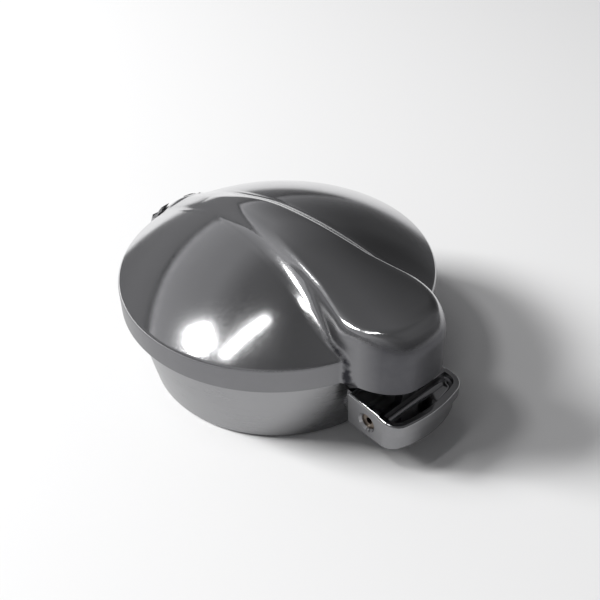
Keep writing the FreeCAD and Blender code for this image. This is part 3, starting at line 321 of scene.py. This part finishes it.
def new_piece(name, mesh, body, nodes):
    """Puts a finished mesh in the scene in place of CAD nodes."""
    piece = bpy.data.objects.new(name, mesh)
    bpy.context.scene.collection.objects.link(piece)
    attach(piece, body)
    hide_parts(*nodes)


def dress(name, mesh, look, body, nodes):
    """Gives a mesh its one material and puts it in the scene."""
    mesh.materials.clear()
    mesh.materials.append(look)
    new_piece(name, mesh, body, nodes)


def merged_copy(node):
    """Copy of a CAD node's mesh, and its loose triangles joined and ready to edit."""
    mesh = frame["nodes"][node].data.copy()
    merged = bmesh.new()
    merged.from_mesh(mesh)
    bmesh.ops.remove_doubles(merged, verts=merged.verts, dist=MERGE_DISTANCE)
    return mesh, merged


def smooth_copy(node):
    """Merged copy of a CAD node with smooth rounds and crisp edges."""
    mesh, merged = merged_copy(node)
    merged.to_mesh(mesh)
    merged.free()
    return finish_shading(mesh)


def finish_shading(mesh):
    """Shades the rounds smooth and keeps edges over the crisp angle sharp."""
    for name in ("custom_normal", "sharp_edge", "sharp_face"):
        if name in mesh.attributes:
            mesh.attributes.remove(mesh.attributes[name])
    for face in mesh.polygons:
        face.use_smooth = True
    mesh.set_sharp_from_angle(angle=math.radians(CRISP_ANGLE))
    carrier = bpy.data.objects.new("shading_carrier", mesh)
    bpy.context.scene.collection.objects.link(carrier)
    weigh = carrier.modifiers.new("weigh", "WEIGHTED_NORMAL")
    weigh.keep_sharp = True
    weigh.weight = 60
    depsgraph = bpy.context.evaluated_depsgraph_get()
    finished = bpy.data.meshes.new_from_object(carrier.evaluated_get(depsgraph))
    bpy.data.objects.remove(carrier)
    return finished


def vertex_places(mesh):
    places = np.empty(3 * len(mesh.vertices))
    mesh.vertices.foreach_get("co", places)
    return places.reshape(-1, 3)


def store(mesh, name, values):
    """Keeps a value for each vertex, for a material to read."""
    layer = mesh.attributes.new(name, "FLOAT", "POINT")
    layer.data.foreach_set("value", np.asarray(values, dtype=np.float32))


# the lid's skin and its inner faces

def skin_faces(rows, columns):
    """Faces of a grid that closes round the lid, with the last row drawn together at the apex."""
    faces = []
    for row in range(rows - 2):
        for column in range(columns):
            beside = (column + 1) % columns
            faces.append((row * columns + column, row * columns + beside,
                          (row + 1) * columns + beside, (row + 1) * columns + column))
    last = (rows - 2) * columns
    apex = (rows - 1) * columns
    for column in range(columns):
        faces.append((last + column, last + (column + 1) % columns, apex))
    return faces


# Width of the dark residue along the corner between spine and dome
RESIDUE_WIDTH = 2.3


def grown(value, start, width):
    """Rises from 0 at a start to 1 over a width."""
    return np.clip((value - start) / width, 0, 1)


def store_skin_masks(mesh, points, normals):
    """Masks: faces that look up, for the polish and the painted shade of the upright faces; the corner
    beside the spine's front part; the nose, for the painted shade on its front.
    """
    x, y, z = points.T
    from_corner = np.maximum(np.abs(shell_field(x, y, z)), np.abs(spine_field(x, y, z)))
    corner = np.exp(-(from_corner / RESIDUE_WIDTH) ** 2)
    store(mesh, "polish", grown(normals[:, 2], 0.3, 0.35))
    store(mesh, "residue", corner * grown(-y, 30, 14))
    # Mask for the painted shade on the nose's front
    store(mesh, "nose", grown(-y, 51, 6))


def make_lid_skin():
    """The dome, skirt, spine and nose as one closed grid with smooth normals."""
    grid = skin_points()
    rows, columns = grid.shape[:2]
    apex = grid[-1, 0]
    points = np.vstack((grid[:-1].reshape(-1, 3), apex))
    mesh = bpy.data.meshes.new("lid_skin")
    mesh.from_pydata((points * MM).tolist(), [], skin_faces(rows, columns))
    normals = field_slope(lid_field, points)
    for face in mesh.polygons:
        face.use_smooth = True
    mesh.normals_split_custom_set_from_vertices(normals.tolist())
    store_skin_masks(mesh, points, normals)
    return mesh


# The CAD lid's outer faces look outwards and lie at most OUTER_DEPTH under the skin. The faces of the
# hinge's ears, behind EAR_FRONT and below EAR_TOP, stay where they don't touch the skin.
OUTER_DEPTH = 1.3
OUTWARD = 0.3
EAR_FRONT = 47.0
EAR_TOP = 34.0
TOUCH = 0.05
# The nose's lower edge, ahead of NOSE_EDGE_BACK and below NOSE_EDGE_TOP, is drawn in to the skin
NOSE_EDGE_BACK = -51.0
NOSE_EDGE_TOP = NECK_TOP + 1.0
PULLS = 3


def make_lid_inside():
    """The CAD lid without the outer faces that the skin stands for, its nose drawn in to the skin."""
    mesh, kept = merged_copy("lid")
    kept.faces.ensure_lookup_table()
    centres = np.array([f.calc_center_median()[:] for f in kept.faces]) / MM
    facing = np.array([f.normal[:] for f in kept.faces])
    depth = lid_field(*centres.T)
    outward = (field_slope(lid_field, centres) * facing).sum(axis=1)
    ear = (centres[:, 1] > EAR_FRONT) & (centres[:, 2] < EAR_TOP) & (np.abs(depth) > TOUCH)
    outer = (depth > -OUTER_DEPTH) & (outward > OUTWARD) & (centres[:, 2] > NECK_TOP + TOUCH) & ~ear
    bmesh.ops.delete(kept, geom=[f for f, gone in zip(kept.faces, outer) if gone], context="FACES")
    kept.to_mesh(mesh)
    kept.free()
    places = vertex_places(mesh) / MM
    nose_edge = (places[:, 1] < NOSE_EDGE_BACK) & (places[:, 2] < NOSE_EDGE_TOP)
    for _ in range(PULLS):
        past = np.where(nose_edge, np.maximum(lid_field(*places.T), 0), 0)
        places[:, :2] -= (field_slope(lid_field, places) * past[:, None])[:, :2]
    mesh.vertices.foreach_set("co", (places * MM).ravel())
    return finish_shading(mesh)


# the ring of screws

def ring_group(look):
    """Tree that sets copies of one piece evenly round the axis, each turned about itself."""
    tree = bpy.data.node_groups.new("screw_ring", "GeometryNodeTree")
    for name, kind in (("Piece", "NodeSocketObject"), ("Count", "NodeSocketInt"),
                       ("Radius", "NodeSocketFloat"), ("Middle", "NodeSocketVector"),
                       ("Start", "NodeSocketVector"), ("Seed", "NodeSocketInt")):
        tree.interface.new_socket(name, in_out="INPUT", socket_type=kind)
    tree.interface.new_socket("Geometry", in_out="OUTPUT", socket_type="NodeSocketGeometry")
    join = tree.links.new
    given, result = tree.nodes.new("NodeGroupInput"), tree.nodes.new("NodeGroupOutput")
    circle = tree.nodes.new("GeometryNodeMeshCircle")
    join(given.outputs["Count"], circle.inputs["Vertices"])
    join(given.outputs["Radius"], circle.inputs["Radius"])
    piece = tree.nodes.new("GeometryNodeObjectInfo")
    piece.inputs["As Instance"].default_value = True
    join(given.outputs["Piece"], piece.inputs["Object"])
    chance = tree.nodes.new("FunctionNodeRandomValue")
    chance.data_type = "FLOAT_VECTOR"
    chance.inputs["Min"].default_value = (0, 0, 0)
    chance.inputs["Max"].default_value = (0, 0, math.tau)
    join(given.outputs["Seed"], chance.inputs["Seed"])
    copies = tree.nodes.new("GeometryNodeInstanceOnPoints")
    join(circle.outputs["Mesh"], copies.inputs["Points"])
    join(piece.outputs["Geometry"], copies.inputs["Instance"])
    join(chance.outputs["Value"], copies.inputs["Rotation"])
    place = tree.nodes.new("GeometryNodeTransform")
    join(copies.outputs["Instances"], place.inputs["Geometry"])
    join(given.outputs["Middle"], place.inputs["Translation"])
    join(given.outputs["Start"], place.inputs["Rotation"])
    real = tree.nodes.new("GeometryNodeRealizeInstances")
    join(place.outputs["Geometry"], real.inputs["Geometry"])
    dressed = tree.nodes.new("GeometryNodeSetMaterial")
    dressed.inputs["Material"].default_value = look
    join(real.outputs["Geometry"], dressed.inputs["Geometry"])
    join(dressed.outputs["Geometry"], result.inputs["Geometry"])
    return tree


def screw_ring(nodes, look):
    """The seal's screws as one plain mesh, set out from the first screw."""
    mesh = smooth_copy(nodes[0])
    places = vertex_places(mesh)
    middle = (places.min(axis=0) + places.max(axis=0)) / 2
    mesh.transform(Matrix.Translation(-Vector(middle)))
    screw = bpy.data.objects.new("one_screw", mesh)
    holder = bpy.data.objects.new("screw_holder", bpy.data.meshes.new("screw_holder"))
    for made in (screw, holder):
        bpy.context.scene.collection.objects.link(made)
    modifier = holder.modifiers.new("ring", "NODES")
    modifier.node_group = ring_group(look)
    inputs = {
        "Piece": screw,
        "Count": len(nodes),
        "Radius": float(math.hypot(middle[0], middle[1])),
        "Middle": (0.0, 0.0, float(middle[2])),
        "Start": (0.0, 0.0, float(math.atan2(middle[1], middle[0]))),
        "Seed": 7,
    }
    for item in modifier.node_group.interface.items_tree:
        if item.name in inputs:
            modifier[item.identifier] = inputs[item.name]
    depsgraph = bpy.context.evaluated_depsgraph_get()
    result = bpy.data.meshes.new_from_object(holder.evaluated_get(depsgraph))
    holder.modifiers.remove(modifier)
    for made in (screw, holder):
        bpy.data.objects.remove(made)
    return result


# shader helpers

def feed(tree, socket, value):
    """Links a socket to another node's output, or sets it to a plain value."""
    if isinstance(value, bpy.types.NodeSocket):
        tree.links.new(value, socket)
    else:
        socket.default_value = value


def add(tree, kind, **settings):
    """New node. A setting that starts with in_ goes to the input of that name."""
    node = tree.nodes.new(kind)
    for key, value in settings.items():
        if key.startswith("in_"):
            feed(tree, node.inputs[key[3:]], value)
        else:
            setattr(node, key, value)
    return node


def maths(tree, operation, *values, clamp=False):
    """Result of one sum on values or other nodes' outputs."""
    node = add(tree, "ShaderNodeMath", operation=operation, use_clamp=clamp)
    for socket, value in zip(node.inputs, values):
        feed(tree, socket, value)
    return node.outputs[0]


def remap(tree, value, low, high, new_low=0.0, new_high=1.0):
    """Value stretched from one range to another and held at its ends."""
    node = add(tree, "ShaderNodeMapRange")
    for socket, fed in (("Value", value), ("From Min", low), ("From Max", high),
                        ("To Min", new_low), ("To Max", new_high)):
        feed(tree, node.inputs[socket], fed)
    return node.outputs["Result"]


def mix_colour(tree, factor, a, b):
    """Colour between two, by a factor from 0 to 1. The sockets' names repeat, so they go by number."""
    node = add(tree, "ShaderNodeMix", data_type="RGBA")
    for socket, value in ((0, factor), (6, a), (7, b)):
        feed(tree, node.inputs[socket], value)
    return node.outputs[2]


def grey(value, warm=0.0):
    """Tone of a metal, a touch blue as it is and yellow where it is warm."""
    return (value * (1 + warm), value, value * (1 - warm) + 0.008, 1)


def placed(tree, group, **values):
    """A shader group in a material, with its own values."""
    node = add(tree, "ShaderNodeGroup", node_tree=group)
    for socket, value in values.items():
        feed(tree, node.inputs[socket], value)
    return node


def attribute(tree, name):
    return add(tree, "ShaderNodeAttribute", attribute_name=name).outputs["Fac"]


def bump(tree, shader, height, strength, distance):
    node = add(tree, "ShaderNodeBump", in_Strength=strength, in_Distance=distance)
    tree.links.new(height, node.inputs["Height"])
    tree.links.new(node.outputs["Normal"], shader.inputs["Normal"])


# shader groups for the marks on the finishes

def shader_group(name, inputs, outputs):
    """Empty shader group with its sockets, and its input and output nodes."""
    group = bpy.data.node_groups.new(name, "ShaderNodeTree")
    for socket, kind, value in inputs:
        made = group.interface.new_socket(socket, in_out="INPUT", socket_type=kind)
        made.default_value = value
    for socket in outputs:
        group.interface.new_socket(socket, in_out="OUTPUT", socket_type="NodeSocketFloat")
    return group, group.nodes.new("NodeGroupInput"), group.nodes.new("NodeGroupOutput")


def hairline_group():
    """Fine lapping lines and faint haze of hand-polished metal."""
    group, given, result = shader_group(
        "hairlines",
        [("Stretch", "NodeSocketVector", (60.0, 900.0, 900.0)), ("Detail", "NodeSocketFloat", 4.0)],
        ["Lines", "Haze"])
    place = add(group, "ShaderNodeTexCoord")
    scale = add(group, "ShaderNodeVectorMath", operation="MULTIPLY")
    group.links.new(place.outputs["Object"], scale.inputs[0])
    group.links.new(given.outputs["Stretch"], scale.inputs[1])
    lines = add(group, "ShaderNodeTexNoise", in_Scale=1.0, in_Roughness=0.65)
    group.links.new(scale.outputs[0], lines.inputs["Vector"])
    group.links.new(given.outputs["Detail"], lines.inputs["Detail"])
    haze = add(group, "ShaderNodeTexNoise", in_Scale=45.0, in_Detail=5.0, in_Roughness=0.6)
    group.links.new(place.outputs["Object"], haze.inputs["Vector"])
    group.links.new(lines.outputs["Fac"], result.inputs["Lines"])
    group.links.new(haze.outputs["Fac"], result.inputs["Haze"])
    return group


def pit_group():
    """Sparse small pits and specks, in a tenth of the cells."""
    group, given, result = shader_group(
        "pits",
        [("Density", "NodeSocketFloat", 140.0), ("Size", "NodeSocketFloat", 0.06)],
        ["Pits"])
    place = add(group, "ShaderNodeTexCoord")
    cells = add(group, "ShaderNodeTexVoronoi", feature="F1")
    group.links.new(place.outputs["Object"], cells.inputs["Vector"])
    group.links.new(given.outputs["Density"], cells.inputs["Scale"])
    rare = add(group, "ShaderNodeTexWhiteNoise", noise_dimensions="3D")
    group.links.new(cells.outputs["Position"], rare.inputs["Vector"])
    chosen = maths(group, "GREATER_THAN", rare.outputs["Value"], 0.9)
    near = maths(group, "LESS_THAN", cells.outputs["Distance"], given.outputs["Size"])
    group.links.new(maths(group, "MULTIPLY", chosen, near), result.inputs["Pits"])
    return group


def grime_group():
    """Patchy dark residue, kept to where the mask is high."""
    group, given, result = shader_group(
        "grime",
        [("Mask", "NodeSocketFloat", 0.0), ("Scale", "NodeSocketFloat", 260.0)],
        ["Grime"])
    place = add(group, "ShaderNodeTexCoord")
    blotch = add(group, "ShaderNodeTexNoise", in_Detail=6.0, in_Roughness=0.7)
    group.links.new(place.outputs["Object"], blotch.inputs["Vector"])
    group.links.new(given.outputs["Scale"], blotch.inputs["Scale"])
    spread = maths(group, "ADD", given.outputs["Mask"], blotch.outputs["Fac"])
    group.links.new(remap(group, spread, 1.05, 1.4), result.inputs["Grime"])
    return group


HAIRLINES = hairline_group()
PITS = pit_group()
GRIME = grime_group()


# finishes

def new_material(name):
    material = bpy.data.materials.new(name)
    material.use_nodes = True
    tree = material.node_tree
    return material, tree, tree.nodes["Principled BSDF"]


def new_metal(name):
    material, tree, shader = new_material(name)
    shader.inputs["Metallic"].default_value = 1.0
    return material, tree, shader


def metal(name, tone, rough, warm=0.0, lines=(80.0, 80.0, 2600.0), line_depth=2e-6, pits=False):
    """Machined or cast metal with its own marks, tone changes and roughness changes."""
    material, tree, shader = new_metal(name)
    marks = placed(tree, HAIRLINES, Stretch=lines, Detail=5.0)
    bright = grey(tone, warm)
    dark = tuple(channel * 0.82 for channel in bright[:3]) + (1,)
    colour = mix_colour(tree, marks.outputs["Haze"], dark, bright)
    if pits:
        spots = placed(tree, PITS, Density=190.0, Size=0.1)
        colour = mix_colour(tree, spots.outputs["Pits"], colour, grey(0.06))
    tree.links.new(colour, shader.inputs["Base Color"])
    both = maths(tree, "ADD", maths(tree, "MULTIPLY", marks.outputs["Lines"], 0.5),
                 maths(tree, "MULTIPLY", marks.outputs["Haze"], 0.5))
    spread = 0.08
    tree.links.new(remap(tree, both, 0.3, 0.7, rough - spread, rough + spread), shader.inputs["Roughness"])
    bump(tree, shader, marks.outputs["Lines"], 0.5, line_depth)
    return material


def lid_polish():
    """Mirror polish on the dome and spine, satin on the upright faces with a darker tone as painted shade,
    residue in the corners, and more painted shade on the nose's front.
    """
    # The satin tone is darker than the mirror tone as painted shade on the upright faces, and the nose tone
    # darker still as painted shade on the nose's front.
    mirror_tone, satin_painted_shade_tone, nose_painted_shade_tone = grey(0.66), grey(0.2), grey(0.09)
    haze_tone, pit_tone, residue_tone = grey(0.4), grey(0.08), grey(0.035)
    material, tree, shader = new_metal("lid_polish")
    marks = placed(tree, HAIRLINES, Stretch=(50.0, 2300.0, 2300.0), Detail=5.0)
    lines, haze = marks.outputs["Lines"], marks.outputs["Haze"]
    polish = attribute(tree, "polish")
    grime = placed(tree, GRIME, Mask=attribute(tree, "residue"), Scale=330.0).outputs["Grime"]
    spots = placed(tree, PITS, Density=150.0, Size=0.07).outputs["Pits"]
    satin = maths(tree, "SUBTRACT", 1.0, polish)
    # Mask of the nose's front, for its painted shade
    front = maths(tree, "MULTIPLY", attribute(tree, "nose"), satin)

    # Upright faces take the darker tone: painted shade.
    tone = mix_colour(tree, polish, satin_painted_shade_tone, mirror_tone)
    # The nose's front takes a darker tone still: painted shade.
    tone = mix_colour(tree, front, tone, nose_painted_shade_tone)
    tone = mix_colour(tree, remap(tree, haze, 0.35, 0.7, 0.0, 0.12), tone, haze_tone)
    tone = mix_colour(tree, maths(tree, "MULTIPLY", spots, satin), tone, pit_tone)
    tone = mix_colour(tree, maths(tree, "MULTIPLY", grime, 0.9), tone, residue_tone)
    tree.links.new(tone, shader.inputs["Base Color"])

    rough = maths(tree, "ADD", maths(tree, "MULTIPLY", satin, 0.2), remap(tree, haze, 0.3, 0.75, 0.03, 0.11))
    rough = maths(tree, "ADD", rough, maths(tree, "MULTIPLY", lines, 0.14))
    rough = maths(tree, "ADD", rough, maths(tree, "MULTIPLY", grime, 0.35), clamp=True)
    tree.links.new(rough, shader.inputs["Roughness"])
    bump(tree, shader, lines, 0.5, 9.0e-6)
    return material


def lever_polish():
    """Polished thumb face, satin sides with the marks of a wheel, the sides in a darker tone as painted
    shade.
    """
    # The side tone is darker than the thumb tone as painted shade on the sides.
    thumb_tone, side_painted_shade_tone, haze_tone = grey(0.6), grey(0.24), grey(0.4)
    material, tree, shader = new_metal("lever_polish")
    marks = placed(tree, HAIRLINES, Stretch=(180.0, 500.0, 2200.0), Detail=5.0)
    lines, haze = marks.outputs["Lines"], marks.outputs["Haze"]
    face = add(tree, "ShaderNodeNewGeometry")
    parts = add(tree, "ShaderNodeSeparateXYZ")
    tree.links.new(face.outputs["Normal"], parts.inputs[0])
    up = remap(tree, parts.outputs["Z"], 0.2, 0.7)

    # Sides take the darker tone by their facing: painted shade.
    tone = mix_colour(tree, up, side_painted_shade_tone, thumb_tone)
    tone = mix_colour(tree, remap(tree, haze, 0.35, 0.7, 0.0, 0.25), tone, haze_tone)
    tree.links.new(tone, shader.inputs["Base Color"])

    rough = maths(tree, "ADD", remap(tree, up, 0.0, 1.0, 0.26, 0.07), maths(tree, "MULTIPLY", haze, 0.08))
    tree.links.new(rough, shader.inputs["Roughness"])
    bump(tree, shader, lines, 0.4, 2.5e-6)
    return material


def seal_rubber():
    """Matt black rubber with a fine grain."""
    material, tree, shader = new_material("seal_rubber")
    marks = placed(tree, HAIRLINES, Stretch=(900.0, 900.0, 900.0), Detail=6.0)
    tone = mix_colour(tree, marks.outputs["Haze"], (0.018, 0.018, 0.019, 1), (0.045, 0.045, 0.046, 1))
    tree.links.new(tone, shader.inputs["Base Color"])
    tree.links.new(remap(tree, marks.outputs["Haze"], 0.3, 0.7, 0.55, 0.75), shader.inputs["Roughness"])
    bump(tree, shader, marks.outputs["Lines"], 0.4, 2e-5)
    return material


# pieces

dress("lid_shell", make_lid_skin(), lid_polish(), "lid", ["lid"])
dress("lid_underside", make_lid_inside(),
      metal("lid_cast_inside", 0.42, 0.42, lines=(600.0, 600.0, 600.0), line_depth=2e-5),
      "lid", ["lid"])

LOOKS = {
    "body_metal": metal("neck_satin", 0.35, 0.3, lines=(25.0, 25.0, 3000.0), line_depth=3e-6, pits=True),
    "lever_metal": lever_polish(),
    "disc_metal": metal("turned_disc", 0.5, 0.28, lines=(90.0, 90.0, 90.0)),
    "brass_pin": metal("dull_brass", 0.2, 0.4, warm=0.22),
    "brass_washer": metal("washer_brass", 0.42, 0.3, warm=0.35),
    "pin_steel": metal("ground_steel", 0.5, 0.22),
    "clip_steel": metal("dark_steel", 0.28, 0.38),
    "spring_steel": metal("drawn_wire", 0.42, 0.26, lines=(1500.0, 1500.0, 1500.0)),
    "catch_steel": metal("rolled_steel", 0.45, 0.3),
    "screw_steel": metal("plain_steel", 0.5, 0.25),
    "seal_rubber": seal_rubber(),
}

SEAL_SCREWS = ["seal_screw_%d" % number for number in range(1, 7)]
new_piece("seal_screws_finished", screw_ring(SEAL_SCREWS, LOOKS["screw_steel"]), "seal", SEAL_SCREWS)

record = frame["record"]
body_of_node = {node: body for body, nodes in record["behaviour"]["bodies"].items() for node in nodes}
for part in record["subparts"]:
    node, slot = part["node"], part["material_slot"]
    if node != "lid" and node not in SEAL_SCREWS:
        dress(node + "_finished", smooth_copy(node), LOOKS[slot], body_of_node[node], [node])


# floor, room, lamps and camera

FLOOR_REACH = 3.0

# The room that the polish mirrors: bands of grey along one axis, and a darker side
BAND_AXIS = (-0.356, 0.512, -0.783)
BANDS = [(0.0, 0.10), (0.08, 0.08), (0.19, 0.11), (0.23, 0.12), (0.31, 0.24), (0.36, 0.25), (0.42, 0.28),
         (0.487, 0.34), (0.492, 0.5), (0.508, 0.5), (0.512, 0.02), (0.525, 0.02), (0.532, 0.18), (0.62, 0.2),
         (0.8, 0.14), (1.0, 0.2)]
DARK_SIDE = (0.885, 0.366, 0.289)

# Camera in metres and degrees
CAMERA_PLACE = (-0.14779, -0.17613, 0.20305)
CAMERA_TURN = (51.37, 1.14, -42.626)


def lay_floor():
    reach = FLOOR_REACH
    mesh = bpy.data.meshes.new("floor")
    mesh.from_pydata([(-reach, -reach, 0), (reach, -reach, 0), (reach, reach, 0), (-reach, reach, 0)],
                     [], [(0, 1, 2, 3)])
    floor = bpy.data.objects.new("floor", mesh)
    bpy.context.scene.collection.objects.link(floor)
    look, _, shader = new_material("pale_floor")
    shader.inputs["Base Color"].default_value = (0.86, 0.86, 0.86, 1)
    shader.inputs["Roughness"].default_value = 0.9
    shader.inputs["Specular IOR Level"].default_value = 0.1
    mesh.materials.append(look)


def share_along(tree, toward, axis):
    """How far a direction of view runs along an axis, from -1 to 1."""
    along = add(tree, "ShaderNodeVectorMath", operation="DOT_PRODUCT")
    along.inputs[1].default_value = axis
    tree.links.new(toward, along.inputs[0])
    return along.outputs["Value"]


def paint_room():
    """World of soft grey bands, with its strength falling off towards the dark side."""
    world = bpy.data.worlds.new("room")
    bpy.context.scene.world = world
    world.use_nodes = True
    room = world.node_tree
    background = room.nodes["Background"]
    toward = add(room, "ShaderNodeTexCoord").outputs["Generated"]
    band = maths(room, "MULTIPLY_ADD", share_along(room, toward, BAND_AXIS), 0.5, 0.5)
    ramp = add(room, "ShaderNodeValToRGB", in_Fac=band)
    stops = ramp.color_ramp.elements
    while len(stops) < len(BANDS):
        stops.new(0.5)
    for stop, (place, value) in zip(stops, BANDS):
        stop.position = place
        stop.color = (value, value, value * 1.03, 1)
    room.links.new(ramp.outputs["Color"], background.inputs["Color"])
    shade = remap(room, share_along(room, toward, DARK_SIDE), 0.8, 0.99, 1.0, 0.25)
    room.links.new(shade, background.inputs["Strength"])


def soft_box(name, toward, distance, size, power, along=(1.0, 0.0, 0.0), around=(0.0, 0.0, 0.04),
             mirrored=True):
    """Area lamp aimed at a point on the cap, and left out of reflections where it isn't mirrored."""
    light = bpy.data.lights.new(name, "AREA")
    light.shape = "RECTANGLE"
    light.size, light.size_y = size
    light.energy = power
    lamp = bpy.data.objects.new(name, light)
    bpy.context.scene.collection.objects.link(lamp)
    direction = Vector(toward).normalized()
    lamp.location = Vector(around) + direction * distance
    wide = (Vector(along) - direction * direction.dot(Vector(along))).normalized()
    lamp.rotation_euler = Matrix((wide, direction.cross(wide), direction)).transposed().to_euler()
    lamp.visible_glossy = mirrored


def set_camera():
    camera = bpy.data.cameras.new("camera")
    camera.lens = 54.0
    camera.sensor_width = 36.0
    view = bpy.data.objects.new("camera", camera)
    view.location = CAMERA_PLACE
    view.rotation_euler = tuple(math.radians(a) for a in CAMERA_TURN)
    bpy.context.scene.collection.objects.link(view)
    bpy.context.scene.camera = view
    bpy.context.scene.view_settings.view_transform = "Standard"


lay_floor()
paint_room()
soft_box("window", (-0.39, 0.34, 0.854), 1.2, (0.20, 0.16), 2.6, along=(0.6, 0.8, 0.0),
         around=(-0.042, -0.012, 0.038))
soft_box("tube", (-0.22, 0.115, 0.968), 1.2, (0.50, 0.055), 0.9, along=(0.389, -0.025, 0.092),
         around=(-0.033, -0.025, 0.04))
soft_box("key", (-0.55, 0.62, 0.56), 1.6, (0.5, 0.5), 34.0, mirrored=False)
set_camera()
